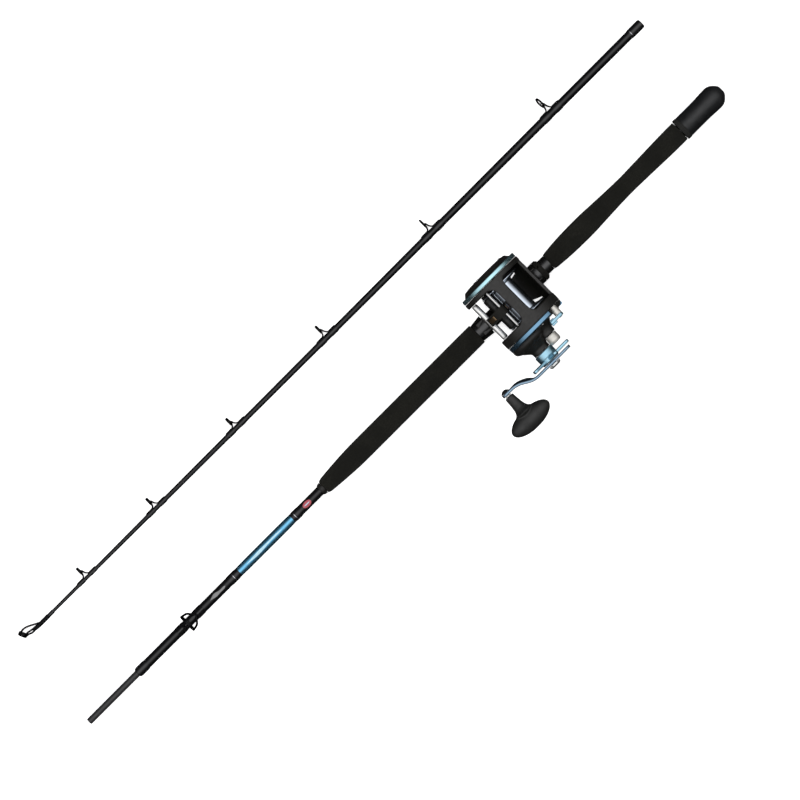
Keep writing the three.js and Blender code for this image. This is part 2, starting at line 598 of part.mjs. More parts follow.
function starWheel() {
  const hub = turned([[74, 0], [74, STAR.hubR], [89.9, STAR.hubR], [89.9, 0]], 'y', 28);
  const arm = (angle) => {
    const outline = new THREE.Shape();
    outline.moveTo(8, -6.5);
    outline.lineTo(20, -4);
    outline.lineTo(STAR.reach - 4, -3.6);
    outline.absarc(STAR.reach - 4, 0, 3.6, -Math.PI / 2, Math.PI / 2, false);
    outline.lineTo(20, 4);
    outline.lineTo(8, 6.5);
    return slabY(outline, STAR.y0, STAR.y1).rotateY(angle);
  };
  const arms = Array.from({ length: STAR.arms }, (_, i) => arm(Math.PI + (i * 2 * Math.PI) / STAR.arms));
  return atCrank(cut(join(hub, ...arms), bar(70, 95, DRIVE_BORE, 'y', 16)));
}

// The crank arm: a bent strip seen from above, thicker in its bend, trimmed to its outline seen along Y.
function crankArm() {
  const inner = [[-200, 90.3], [-145, 90.1], [-138, 88.8], [-130, 82.6], [-121, 78.3], [-115, 77.7],
    [-108, 77.8], [-92, 77.8]];
  const outer = [[-92, 81.8], [-112, 82.1], [-121, 84.8], [-131, 90.8], [-138, 93.2], [-145, 94.1],
    [-200, 94.3]];
  const strip = slabZ([...inner, ...outer], -9, 9).translate(0, 0, CRANK_Z);
  const outline = new THREE.Shape();
  outline.absarc(-193.5, CRANK_Z, 6, Math.PI / 2, (3 * Math.PI) / 2, false);
  outline.lineTo(CRANK_X, CRANK_Z - 8);
  outline.absarc(KNOB_X, CRANK_Z, 6.2, -Math.PI / 2, Math.PI / 2, false);
  outline.lineTo(CRANK_X, CRANK_Z + 8);
  const plate = slabY(outline, 70, 100);
  const crankHole = atCrank(bar(80, 100, DRIVE_BORE, 'y', 16));
  const knobHole = bar(70, 90, 2.8, 'y', 12).translate(KNOB_X, 0, CRANK_Z);
  return cut(overlap(strip, plate), crankHole, knobHole);
}

const atKnob = (g) => g.translate(KNOB_X, 0, CRANK_Z);
function crankNut() {
  const body = turned([[94.6, 0], [94.6, 9], [96.6, 8.8], [98.6, 6.6], [98.6, 0]], 'y', 12);
  return atCrank(cut(body, bar(94, 97.4, DRIVE_BORE, 'y', 16)));
}

function knobStud() {
  return atKnob(turned([[73.6, 0], [73.6, 3], [76, 5.8], [77.4, 6.5], [77.4, 2.5], [128, 2.5],
    [128, 0]], 'y', 20));
}

const KNOB_ROWS = 8;
function knob() {
  const half = [31.3, 13.9];
  const middle = KNOB_REACH - half[1];
  const profile = Array.from({ length: KNOB_ROWS + 1 }, (_, i) => {
    const angle = Math.PI * (1 - i / KNOB_ROWS);
    const blunt = 1 + 0.06 * Math.sin(angle) ** 2 * Math.abs(Math.cos(angle));
    return [half[0] * Math.cos(angle), i % KNOB_ROWS === 0 ? 0 : half[1] * Math.sin(angle) * blunt];
  });
  const paddle = turned(profile, 'x', 20).scale(1, 1, 0.86).translate(0, middle, 0);
  const stem = turned([[83.6, 0], [83.6, 6.2], [96, 6.7], [103, 7.6], [107, 9.4], [112, 15], [116, 9],
    [116, 0]], 'y', 16);
  return atKnob(cut(join(paddle, stem), bar(80, 128.5, 2.8, 'y', 12)));
}

function castCap() {
  const outer = [[65.4, 5.6], [65.4, 8.25], [75, 8.25], [76.8, 7.5], [77.5, 6], [77.5, 0]];
  return atSpool(turned([[70.4, 0], [70.4, 5.6], ...outer], 'y'));
}

function clutchLever() {
  const outline = new THREE.Shape();
  outline.absarc(0, 0, 5, Math.PI * 0.6, Math.PI * 1.75, false);
  outline.lineTo(13, 1.5);
  outline.absarc(13, 5, 3.5, -Math.PI / 2, Math.PI / 2, false);
  const arm = slabY(outline, 54.3, 58.6);
  const pad = slabY([[7.5, 1.5], [15.8, 2.4], [15.8, 7.6], [7.5, 6.6]], 58, 61);
  return join(arm, pad).translate(LEVER_X, 0, LEVER_Z);
}

add(butt, 'star_drag_wheel', starWheel(), BLUE);
add(butt, 'crank_arm', crankArm(), BLUE);
add(butt, 'crank_nut', crankNut(), SILVER);
add(butt, 'knob_stud', knobStud(), STEEL);
add(butt, 'knob_washer', atKnob(collar(82.2, 83.3, 4.6, 2.8, 'y', 16)), STEEL);
add(butt, 'crank_knob', knob(), RUBBER);
add(butt, 'cast_control_cap', castCap(), SILVER);
add(butt, 'clutch_lever', clutchLever(), BLUE);

export default rodAndReel;
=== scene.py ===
import bpy
import bmesh
import json
from math import atan2, cos, exp, pi, radians, sin, sqrt
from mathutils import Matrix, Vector

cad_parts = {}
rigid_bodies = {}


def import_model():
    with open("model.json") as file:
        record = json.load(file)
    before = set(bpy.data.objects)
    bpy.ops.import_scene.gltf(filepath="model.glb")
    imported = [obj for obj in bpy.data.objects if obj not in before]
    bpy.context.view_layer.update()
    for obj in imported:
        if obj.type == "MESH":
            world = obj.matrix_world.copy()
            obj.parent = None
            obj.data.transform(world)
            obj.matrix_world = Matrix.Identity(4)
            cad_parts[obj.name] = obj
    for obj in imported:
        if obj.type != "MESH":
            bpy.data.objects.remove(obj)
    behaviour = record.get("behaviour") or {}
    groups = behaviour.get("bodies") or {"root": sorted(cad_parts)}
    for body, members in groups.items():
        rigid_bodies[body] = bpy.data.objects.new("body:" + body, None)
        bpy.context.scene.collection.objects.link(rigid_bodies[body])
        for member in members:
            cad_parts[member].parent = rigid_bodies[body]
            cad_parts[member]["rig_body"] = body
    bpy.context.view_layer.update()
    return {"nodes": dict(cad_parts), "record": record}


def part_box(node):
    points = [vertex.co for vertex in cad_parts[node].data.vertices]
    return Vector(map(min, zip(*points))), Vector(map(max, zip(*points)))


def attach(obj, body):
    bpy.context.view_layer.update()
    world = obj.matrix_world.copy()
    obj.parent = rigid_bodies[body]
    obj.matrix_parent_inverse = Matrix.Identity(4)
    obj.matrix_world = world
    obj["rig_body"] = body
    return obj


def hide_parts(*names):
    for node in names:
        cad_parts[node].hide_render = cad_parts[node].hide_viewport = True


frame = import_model()

# ---- places taken from the frame -----------------------------------------
MM = 0.001


def middle(node):
    lo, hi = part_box(node)
    return (lo + hi) / 2


ROD = middle("butt_blank")        # butt section's axis (Y and Z)
TIP = middle("ferrule_sleeve")    # tip section's axis


def crosswise(node):
    """Where a reel part's axis, which runs along Y, crosses the plane through the butt section."""
    place = middle(node)
    return Vector((place.x, ROD.y, place.z))


PLATE_AT = crosswise("left_trim_ring")
SPOOL_AT = crosswise("spool")
CRANK_AT = crosswise("drive_shaft")
WORM_AT = crosswise("worm_tube")
RAIL_AT = crosswise("guide_rail")
FRONT_AT = crosswise("front_bar")
LEVER_AT = crosswise("lever_post")
KNOB_AT = Vector((middle("knob_stud").x, ROD.y, CRANK_AT.z))


# ---- mesh helpers --------------------------------------------------------
FINISH = {}     # slot: the material the CAD nodes of that slot get


def new_piece(name, verts, faces, material, body, replaces=(), sharp=35, slot=None):
    """A smooth-shaded mesh that rides on a body. The slot argument is not used."""
    mesh = bpy.data.meshes.new(name)
    mesh.from_pydata([tuple(v) for v in verts], [], faces)
    mesh.validate()
    bm = bmesh.new()
    bm.from_mesh(mesh)
    bmesh.ops.recalc_face_normals(bm, faces=bm.faces)
    bm.to_mesh(mesh)
    bm.free()
    mesh.polygons.foreach_set("use_smooth", [True] * len(mesh.polygons))
    mesh.set_sharp_from_angle(angle=radians(sharp))
    mesh.materials.append(material)
    obj = bpy.data.objects.new(name, mesh)
    bpy.context.scene.collection.objects.link(obj)
    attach(obj, body)
    if replaces:
        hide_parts(*([replaces] if isinstance(replaces, str) else replaces))
    return obj


def soften(points, radius=0.4, steps=3, closed=False):
    """Rounds an outline's corners: each becomes a short curve that starts `radius` away from it."""
    count = len(points)
    out = []
    for i, p in enumerate(points):
        if not closed and i in (0, count - 1):
            out.append(tuple(p))
            continue
        here = Vector(p)
        before, after = Vector(points[i - 1]), Vector(points[(i + 1) % count])
        a = here + (before - here).normalized() * min(radius, (before - here).length * 0.45)
        b = here + (after - here).normalized() * min(radius, (after - here).length * 0.45)
        for k in range(steps + 1):
            t = k / steps
            q = a * (1 - t) ** 2 + here * 2 * t * (1 - t) + b * t * t
            out.append(tuple(q))
    return out


def rounded_path(points, per_span=8):
    """A Catmull-Rom curve through points."""
    out = []
    last = len(points) - 1
    for i in range(last):
        p0, p1 = points[max(i - 1, 0)], points[i]
        p2, p3 = points[i + 1], points[min(i + 2, last)]
        for k in range(per_span):
            t = k / per_span
            out.append(0.5 * (2 * p1 + (p2 - p0) * t + (2 * p0 - 5 * p1 + 4 * p2 - p3) * t * t
                              + (3 * p1 - p0 - 3 * p2 + p3) * t ** 3))
    out.append(points[-1].copy())
    return out


def smooth_profile(points, per_span):
    return [tuple(p) for p in rounded_path([Vector(p) for p in points], per_span)]


def round_turn(count):
    """Angles evenly spaced round a full turn."""
    return [2 * pi * k / count for k in range(count)]


AXES = {  # axis: (along, first, second) unit vectors
    "x": (Vector((1, 0, 0)), Vector((0, 1, 0)), Vector((0, 0, 1))),
    "y": (Vector((0, 1, 0)), Vector((0, 0, 1)), Vector((1, 0, 0))),
    "z": (Vector((0, 0, 1)), Vector((1, 0, 0)), Vector((0, 1, 0))),
}


def turned_mesh(profile, axis, origin, segments=96, closed=False, shape=None):
    """Vertices and faces of a turned piece. profile is (place along the axis, radius) in mm.
    shape(angle, along, radius) may return another radius."""
    along, first, second = AXES[axis]
    verts, rings = [], []
    for place, radius in profile:
        if radius < 1e-6:
            rings.append([len(verts)])
            verts.append(origin + along * place * MM)
            continue
        ring = []
        for angle in round_turn(segments):
            r = shape(angle, place, radius) if shape else radius
            ring.append(len(verts))
            verts.append(origin + along * place * MM + (first * cos(angle) + second * sin(angle)) * r * MM)
        rings.append(ring)
    faces = []
    pairs = list(zip(rings, rings[1:]))
    if closed:
        pairs.append((rings[-1], rings[0]))
    for a, b in pairs:
        for k in range(segments):
            n = (k + 1) % segments
            if len(a) == 1 and len(b) == 1:
                continue
            if len(a) == 1:
                faces.append((a[0], b[n], b[k]))
            elif len(b) == 1:
                faces.append((a[k], a[n], b[0]))
            else:
                faces.append((a[k], a[n], b[n], b[k]))
    return verts, faces


def lathe(name, profile, axis, origin, material, body, replaces=(), segments=96, closed=False,
          shape=None, corner=0.35, sharp=35, slot=None):
    if corner:
        profile = soften(profile, corner, closed=closed)
    verts, faces = turned_mesh(profile, axis, origin, segments, closed, shape)
    return new_piece(name, verts, faces, material, body, replaces, sharp, slot)


def skin(loops, caps=True):
    """Faces joining loops of equal length, and the vertices in order."""
    count = len(loops[0])
    verts = [v for loop in loops for v in loop]
    faces = []
    for i in range(len(loops) - 1):
        for k in range(count):
            n = (k + 1) % count
            faces.append((i * count + k, i * count + n, (i + 1) * count + n, (i + 1) * count + k))
    if caps:
        faces.append(tuple(range(count))[::-1])
        faces.append(tuple((len(loops) - 1) * count + k for k in range(count)))
    return verts, faces


def wire_mesh(points, radius, sides=12, per_span=8):
    """A round wire through points (metres); radius in mm, a number or a function of t from 0 to 1."""
    path = rounded_path(points, per_span)
    loops = []
    normal = None
    for i, p in enumerate(path):
        tangent = (path[min(i + 1, len(path) - 1)] - path[max(i - 1, 0)]).normalized()
        if normal is None:
            normal = tangent.orthogonal().normalized()
        normal = (normal - tangent * normal.dot(tangent)).normalized()
        other = tangent.cross(normal)
        r = (radius(i / (len(path) - 1)) if callable(radius) else radius) * MM
        loops.append([p + (normal * cos(a) + other * sin(a)) * r
                      for a in round_turn(sides)])
    return skin(loops)


def merge_meshes(parts):
    verts, faces = [], []
    for v, f in parts:
        base = len(verts)
        verts.extend(v)
        faces.extend(tuple(i + base for i in face) for face in f)
    return verts, faces


def prism_mesh(outline, axis, low, high, origin, bevel=0.5, rings=2):
    """An outline (mm, in the plane across `axis`) between two faces, with rounded edges."""
    along, first, second = AXES[axis]
    pts = [Vector(p) for p in outline]
    count = len(pts)
    area = sum(pts[i].x * pts[(i + 1) % count].y - pts[(i + 1) % count].x * pts[i].y for i in range(count))
    turn = 1 if area > 0 else -1

    def inset(amount):
        moved = []
        for i, p in enumerate(pts):
            e0 = (p - pts[i - 1]).normalized()
            e1 = (pts[(i + 1) % count] - p).normalized()
            n0, n1 = Vector((-e0.y, e0.x)) * turn, Vector((-e1.y, e1.x)) * turn
            n = n0 + n1
            n = n / max(n.dot(n0), 0.35) if n.length > 1e-6 else n0
            moved.append(p + n * amount)
        return moved

    levels = [(low + bevel * (1 - sin(pi / 2 * k / rings)), bevel * (1 - cos(pi / 2 * k / rings)))
              for k in range(rings, -1, -1)]
    levels += [(low + high - place, amount) for place, amount in reversed(levels)]
    loops = []
    for place, amount in levels:
        loops.append([origin + along * place * MM + (first * p.x + second * p.y) * MM for p in inset(amount)])
    return skin(loops)


# ---- materials -----------------------------------------------------------
class Look:
    """A node-based material being put together. Lengths are in mm."""

    def __init__(self, name, slot, color, roughness, metallic=0.0, **inputs):
        self.material = bpy.data.materials.new(name)
        FINISH.setdefault(slot, self.material)
        self.material.use_nodes = True
        self.tree = self.material.node_tree
        self.shader = self.tree.nodes["Principled BSDF"]
        self.shader.inputs["Roughness"].default_value = roughness
        self.shader.inputs["Metallic"].default_value = metallic
        for key, value in inputs.items():
            self.shader.inputs[key.replace("_", " ")].default_value = value
        self.color = self.node("RGB")
        self.color.outputs[0].default_value = (*color, 1)
        self.last_color = self.color.outputs[0]
        self.link(self.last_color, self.shader.inputs["Base Color"])
        self.place = self.node("TexCoord").outputs["Object"]
        self.last_bump = None

    def node(self, kind, **settings):
        made = self.tree.nodes.new("ShaderNode" + kind)
        for key, value in settings.items():
            if key in made.inputs:
                made.inputs[key].default_value = value
            else:
                setattr(made, key, value)
        return made

    def link(self, a, b):
        self.tree.links.new(a, b)
        return b

    def stretched(self, stretch):
        mapping = self.node("Mapping")
        mapping.inputs["Scale"].default_value = stretch
        self.link(self.place, mapping.inputs["Vector"])
        return mapping.outputs["Vector"]

    def noise(self, size, detail=4.0, stretch=(1, 1, 1)):
        made = self.node("TexNoise", Scale=1 / (size * MM), Detail=detail)
        self.link(self.stretched(stretch), made.inputs["Vector"])
        return made.outputs["Fac"]

    def tint(self, factor, color, amount=1.0, low=0.4, high=0.6):
        """Blends towards color where factor is high."""
        span = self.node("MapRange", **{"From Min": low, "From Max": high, "To Min": 0.0, "To Max": amount})
        self.link(factor, span.inputs["Value"])
        mix = self.node("Mix", data_type="RGBA")
        self.link(span.outputs["Result"], mix.inputs[0])
        self.link(self.last_color, mix.inputs[6])
        mix.inputs[7].default_value = (*color, 1)
        self.last_color = mix.outputs[2]
        self.link(self.last_color, self.shader.inputs["Base Color"])
        return self

    def vary_roughness(self, factor, low, high):
        span = self.node("MapRange", **{"From Min": 0.35, "From Max": 0.65, "To Min": low, "To Max": high})
        self.link(factor, span.inputs["Value"])
        self.link(span.outputs["Result"], self.shader.inputs["Roughness"])
        return self

    def bump(self, height, depth, strength=1.0):
        made = self.node("Bump", Strength=strength, Distance=depth * MM)
        self.link(height, made.inputs["Height"])
        if self.last_bump:
            self.link(self.last_bump, made.inputs["Normal"])
        self.last_bump = made.outputs["Normal"]
        self.link(self.last_bump, self.shader.inputs["Normal"])
        return self

    def lines(self, pitch, direction="X"):
        """Even lines; pitch is the distance from one to the next."""
        made = self.node("TexWave", bands_direction=direction, wave_profile="SIN",
                         Scale=pi / 10 / (pitch * MM))
        self.link(self.place, made.inputs["Vector"])
        return made.outputs["Fac"]


def scaled(color, factor):
    return tuple(min(c * factor, 1) for c in color)


def foam_look():
    look = Look("foam_skin", "foam", (0.0075, 0.0075, 0.006), 0.92, Specular_IOR_Level=0.12)
    cells = look.node("TexVoronoi", Scale=1 / (0.9 * MM))
    look.link(look.place, cells.inputs["Vector"])
    look.tint(look.noise(1.6, 6), (0.0115, 0.0112, 0.0092), 0.8, 0.45, 0.6)
    look.tint(look.noise(24, 3), (0.006, 0.006, 0.005), 0.7)
    look.bump(cells.outputs["Distance"], 0.12, 0.55)
    look.bump(look.noise(0.5, 5), 0.1, 0.5)
    return look.vary_roughness(look.noise(5), 0.84, 0.97).material


def rubber_look(name, slot, color, roughness, grain=0.08):
    look = Look(name, slot, color, roughness, Specular_IOR_Level=0.5)
    look.tint(look.noise(6, 5), scaled(color, 1.35), 0.7)
    look.bump(look.noise(0.7, 6), grain, 0.35)
    return look.vary_roughness(look.noise(9, 4), roughness - 0.06, roughness + 0.1).material


def gloss_look():
    look = Look("gloss_blank_skin", "gloss_blank", (0.0022, 0.0022, 0.0025), 0.3, Specular_IOR_Level=0.05,
                Coat_Weight=0.85, Coat_Roughness=0.1)
    look.tint(look.lines(1.4, "DIAGONAL"), (0.0036, 0.0036, 0.0042), 0.8, 0.3, 0.9)
    look.tint(look.noise(30, 3), (0.0016, 0.0016, 0.002), 0.6)
    look.bump(look.noise(3.0, 3), 0.03, 0.15)
    return look.vary_roughness(look.noise(4), 0.18, 0.28).material


def bare_look():
    look = Look("bare_graphite_skin", "bare_blank", (0.013, 0.013, 0.0135), 0.4, Specular_IOR_Level=0.62)
    rings = look.lines(0.55)
    look.tint(rings, (0.018, 0.018, 0.0185), 0.6, 0.3, 0.8)
    look.tint(look.noise(5, 5, (0.3, 1, 1)), (0.010, 0.010, 0.0105), 0.6)
    look.bump(rings, 0.04, 0.5)
    return look.vary_roughness(look.noise(2), 0.32, 0.48).material


def thread_look(name, slot, color, accent, pitch, roughness, metallic=0.0):
    """Wound thread under a clear coat."""
    look = Look(name, slot, color, roughness, metallic, Specular_IOR_Level=0.08, Coat_Weight=1.0,
                Coat_Roughness=0.12)
    thread = look.lines(pitch)
    look.tint(thread, accent, 0.7, 0.2, 0.9)
    look.bump(thread, 0.07, 0.45)
    look.bump(look.noise(2.5, 3), 0.05, 0.2)
    return look.material


def graphite_look(name, color, roughness, level):
    look = Look(name, "graphite", color, roughness, Specular_IOR_Level=level)
    look.tint(look.noise(1.2, 6), scaled(color, 1.3), 0.6)
    look.tint(look.noise(14, 3), scaled(color, 0.8), 0.6)
    look.bump(look.noise(0.35, 6), 0.05, 0.4)
    return look.vary_roughness(look.noise(3.5, 4), roughness - 0.05, roughness + 0.1).material


def metal_look(name, slot, color, roughness, brushed=False, shade=0.9, grain=0.012):
    """Metal, or anodised metal. Where brushed, the grain is drawn out along Y."""
    look = Look(name, slot, color, roughness, 1.0)
    fine = look.noise(0.5, 6, (1, 0.03, 1) if brushed else (1, 1, 1))
    look.tint(fine, scaled(color, shade), 0.3)
    look.tint(look.noise(12, 3), scaled(color, 1.12), 0.5)
    look.bump(fine, grain, 0.25)
    return look.vary_roughness(fine, roughness - 0.03, roughness + 0.06).material


def plastic_look(name, slot, color, roughness, grain=0.04):
    look = Look(name, slot, color, roughness)
    look.tint(look.noise(4, 5), scaled(color, 1.25), 0.6)
    look.bump(look.noise(0.6, 5), grain, 0.3)
    return look.vary_roughness(look.noise(3), roughness - 0.08, roughness + 0.1).material


# The first look made for a slot is the one its CAD nodes get.
FOAM = foam_look()
BUTT_RUBBER = rubber_look("butt_rubber_skin", "butt_rubber", (0.004, 0.0045, 0.005), 0.4)
RIM_RUBBER = rubber_look("rim_rubber_skin", "butt_rubber", (0.0045, 0.0046, 0.0036), 0.75)
KNOB_RUBBER = rubber_look("knob_rubber_skin", "knob_rubber", (0.0070, 0.0070, 0.0066), 0.46, 0.12)
BLANK = gloss_look()
BARE = bare_look()
THREAD = thread_look("black_thread_skin", "gloss_blank", (0.0022, 0.0022, 0.0026),
                     (0.00518, 0.00518, 0.00594), 0.34, 0.35)
GRAPHITE = graphite_look("graphite_skin", (0.0062, 0.0058, 0.0048), 0.38, 0.46)
SEAT_GRAPHITE = graphite_look("seat_graphite_skin", (0.0030, 0.0030, 0.0028), 0.15, 0.8)
DULL_GRAPHITE = graphite_look("dull_graphite_skin", (0.0075, 0.0072, 0.006), 0.55, 0.16)
WIRE = metal_look("guide_wire_skin", "guide_wire", (0.012, 0.012, 0.013), 0.24, shade=0.7)
RING_INSERT = plastic_look("ring_insert_skin", "ring_insert", (0.009, 0.009, 0.010), 0.12, 0.01)
BLUE = metal_look("blue_anodised_skin", "blue_metal", (0.16, 0.30, 0.43), 0.24)
BLUE_ARM = metal_look("blue_arm_skin", "blue_metal", (0.25, 0.36, 0.46), 0.3)
BLUE_STAR = metal_look("blue_star_skin", "blue_metal", (0.32, 0.54, 0.65), 0.26)
TEAL = metal_look("teal_anodised_skin", "teal_metal", (0.42, 0.68, 0.73), 0.24)
SPOOL_METAL = metal_look("spool_skin", "spool_metal", (0.72, 0.80, 0.90), 0.11)
SILVER = metal_look("champagne_skin", "silver_metal", (0.80, 0.78, 0.72), 0.52, grain=0.03)
SILVER_THREAD = thread_look("silver_thread_skin", "silver_metal", (0.5, 0.5, 0.52), (0.75, 0.75, 0.78), 0.3,
                            0.25, 1.0)
STEEL = metal_look("stainless_skin", "stainless", (0.78, 0.78, 0.76), 0.3, True, 0.88)
SATIN_STEEL = metal_look("satin_steel_skin", "stainless", (0.84, 0.84, 0.82), 0.42, True)
DARK_STEEL = metal_look("dark_steel_skin", "stainless", (0.30, 0.33, 0.33), 0.3)
BRASS = metal_look("gear_brass_skin", "gear_brass", (0.62, 0.42, 0.16), 0.32)
GEAR_PLASTIC = plastic_look("gear_plastic_skin", "gear_plastic", (0.03, 0.03, 0.032), 0.45)
DRAG = plastic_look("drag_fibre_skin", "drag_fibre", (0.02, 0.022, 0.02), 0.75, 0.1)
BRONZE = metal_look("guide_lining_skin", "bronze_insert", (0.19, 0.13, 0.075), 0.35)

for part in frame["record"]["subparts"]:
    own = frame["nodes"][part["node"]]
    own.data.materials.clear()
    own.data.materials.append(FINISH[part["material_slot"]])


# ---- rod: blank, wraps and grips -----------------------------------------
BUTT = Vector((0, ROD.y, ROD.z))
LEFT_ROD = Vector((0, TIP.y, TIP.z))


def ends(node, axis=0):
    """A node's lowest and highest place along an axis, in mm from the frame's origin."""
    lo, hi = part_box(node)
    return lo[axis] / MM, hi[axis] / MM


def line(points):
    """A value that runs straight from each (place, value) point to the next."""
    def radius(x):
        for (x0, r0), (x1, r1) in zip(points, points[1:]):
            if x <= x1:
                break
        return r0 + (r1 - r0) * (x - x0) / (x1 - x0)
    return radius


GRIP_REAR, GRIP_FRONT = ends("rear_grip")
FORE_REAR, FORE_FRONT = ends("foregrip")
BUTT_REAR, SHOULDER = ends("butt_blank")
TIP_REAR, TIP_FRONT = ends("tip_blank")
ROD_END = ends("spigot")[1]
butt_r = line([(GRIP_REAR, 7.2), (FORE_FRONT, 6.35), (SHOULDER, 6.1)])
tip_r = line([(TIP_REAR, 5.65), (-510, 5.65), (-368, 5.35), (-136, 4.55), (116, 3.65), (287, 3.15),
              (410, 2.55), (520, 2.1)])


def humped(toward, height):
    """A turned shape that bulges over a guide's foot on the side `toward` (radians)."""
    def shape(angle, place, radius):
        away = atan2(sin(angle - toward), cos(angle - toward))
        return radius + height * exp(-(away / 0.42) ** 2)
    return shape


def wrap_mesh(x0, x1, radius_at, origin, thick=0.42, shape=None, segments=64):
    """Thread wound on a blank, domed by its clear coat and thinning out at both ends."""
    rows = 14
    profile = []
    for k in range(rows + 1):
        t = k / rows
        x = x0 + (x1 - x0) * t
        rise = min(1.0, sin(pi * min(t, 1 - t, 0.22) / 0.44)) if k not in (0, rows) else 0.0
        profile.append((x, radius_at(x) - 0.06 + (thick + 0.06) * rise))
    return turned_mesh(profile, "x", origin, segments, shape=shape)


def wrap(name, spans, radius_at, origin, body, material=THREAD, thick=0.42, shape=None):
    meshes = [wrap_mesh(x0, x1, radius_at, origin, thick, shape) for x0, x1 in spans]
    return new_piece(name, *merge_meshes(meshes), material, body)


blank_profile = [(BUTT_REAR, 4.5)] + [(x, butt_r(x)) for x in range(-540, 141, 40)]
blank_profile += [(x, butt_r(x)) for x in range(150, 470, 20)]
blank_profile += [(SHOULDER - 1.6, 6.12), (SHOULDER, 5.3), (SHOULDER, 4.5)]
lathe("painted_butt_blank", blank_profile, "x", BUTT, BLANK, "root", "butt_blank", corner=0.5)

spigot_start = ends("spigot")[0]
lathe("ground_spigot", [(spigot_start, 0), (spigot_start, 4.4), (SHOULDER - 2, 4.42), (SHOULDER + 3, 4.4),
                        (ROD_END - 1.8, 4.36), (ROD_END - 0.5, 4.05), (ROD_END, 3.3), (ROD_END, 0)],
      "x", BUTT, BARE, "root", "spigot", corner=0.3)


def pressed(depth, seed):
    """Slight unevenness, as hand wear leaves in foam."""
    def shape(angle, place, radius):
        wave = sin(2 * angle + seed) * sin(place / 23 + seed) + sin(3 * angle - place / 11) * 0.6
        return radius - depth * (1 + 0.5 * wave)
    return shape


def foam_grip(name, node, outer, seed):
    lo, hi = outer[0][0], outer[-1][0]
    profile = [(lo, butt_r(lo) + 0.4)] + smooth_profile(outer, 8) + [(hi, butt_r(hi) + 0.4)]
    grip = lathe(name, profile, "x", BUTT, FOAM, "root", node, segments=112, corner=0.9,
                 shape=pressed(0.05, seed), sharp=50)


foam_grip("rear_foam_grip", "rear_grip",
          [(GRIP_REAR, 14.2), (-463, 14.0), (-425, 12.9), (-395, 12.2), (-372, 12.65), (-342, 13.9),
           (-327, 14.65), (-304, 14.75), (-281, 14.0), (-262, 12.5), (-259, 12.1), (GRIP_FRONT, 11.2)],
          0.4)
foam_grip("front_foam_grip", "foregrip",
          [(FORE_REAR, 13.2), (FORE_REAR + 1.2, 14.1), (FORE_REAR + 3, 14.35), (-60, 14.35), (20, 14.35),
           (78, 14.3), (96, 13.95), (112, 13.1), (127, 12.0), (138, 11.0), (142.5, 10.2), (FORE_FRONT, 8.8)],
          2.1)

cap_rear, cap_front = ends("butt_cap")
RIM_END = GRIP_REAR - 7.3
lathe("butt_cap_rim",
      [(cap_front, 7.4), (RIM_END - 0.1, 7.4), (RIM_END - 0.1, 15.05), (RIM_END + 0.7, 15.35),
       (GRIP_REAR - 3, 15.65), (GRIP_REAR - 1.6, 15.6), (GRIP_REAR - 1, 15.1), (GRIP_REAR - 1, 7.6)],
      "x", BUTT, RIM_RUBBER, "root", corner=0.3)
lathe("butt_rubber_cap",
      [(RIM_END, 7.6), (RIM_END, 14.7), (RIM_END - 0.8, 15.1), (-499, 15.12), (-508, 15.05), (-520, 15.0),
       (-531, 15.2), (-539, 15.7), (-546, 15.9), (-550, 15.8), (-553, 15.1), (-556, 13.5), (-558.7, 11.3),
       (-561, 8.9), (-562.7, 6.6), (cap_rear, 4.6), (cap_rear, 0)],
      "x", BUTT, BUTT_RUBBER, "root", "butt_cap", corner=0.5)
check_lo, check_hi = ends("winding_check")
lathe("turned_winding_check",
      [(check_lo, 6.6), (check_lo, 8.3), (check_lo + 1.4, 8.4), (check_lo + 2.0, 7.9), (check_lo + 2.6, 8.2),
       (check_lo + 3.6, 8.0), (check_hi - 0.4, 7.2), (check_hi, 6.6)],
      "x", BUTT, GRAPHITE, "root", "winding_check", corner=0.25)

# decoration between the foregrip and the stripper guide
BAND = (199.0, 298.0)
BAND_FILM = thread_look("blue_band_skin", "blue_metal", (0.12, 0.42, 0.66), (0.16, 0.5, 0.74), 0.3, 0.26,
                        0.96)
MARK_SILVER = plastic_look("printed_silver_skin", "silver_metal", (0.15, 0.15, 0.152), 0.35, 0.02)
MARK_PALE = plastic_look("printed_pale_skin", "silver_metal", (0.34, 0.52, 0.62), 0.35, 0.02)
MARK_RED = plastic_look("printed_red_skin", "blue_metal", (0.30, 0.055, 0.07), 0.35, 0.02)
wrap("decorative_blue_band", [BAND], butt_r, BUTT, "root", BAND_FILM, 0.34)
wrap("band_border_wraps", [(BAND[0] - 11, BAND[0] + 0.2), (BAND[1] - 0.2, BAND[1] + 16)], butt_r, BUTT,
     "root")
wrap("silver_trim_threads", [(BAND[0] - 3.4, BAND[0] - 2.3), (BAND[1] + 6.6, BAND[1] + 7.7)],
     lambda x: butt_r(x) + 0.3, BUTT, "root", SILVER_THREAD, 0.14)


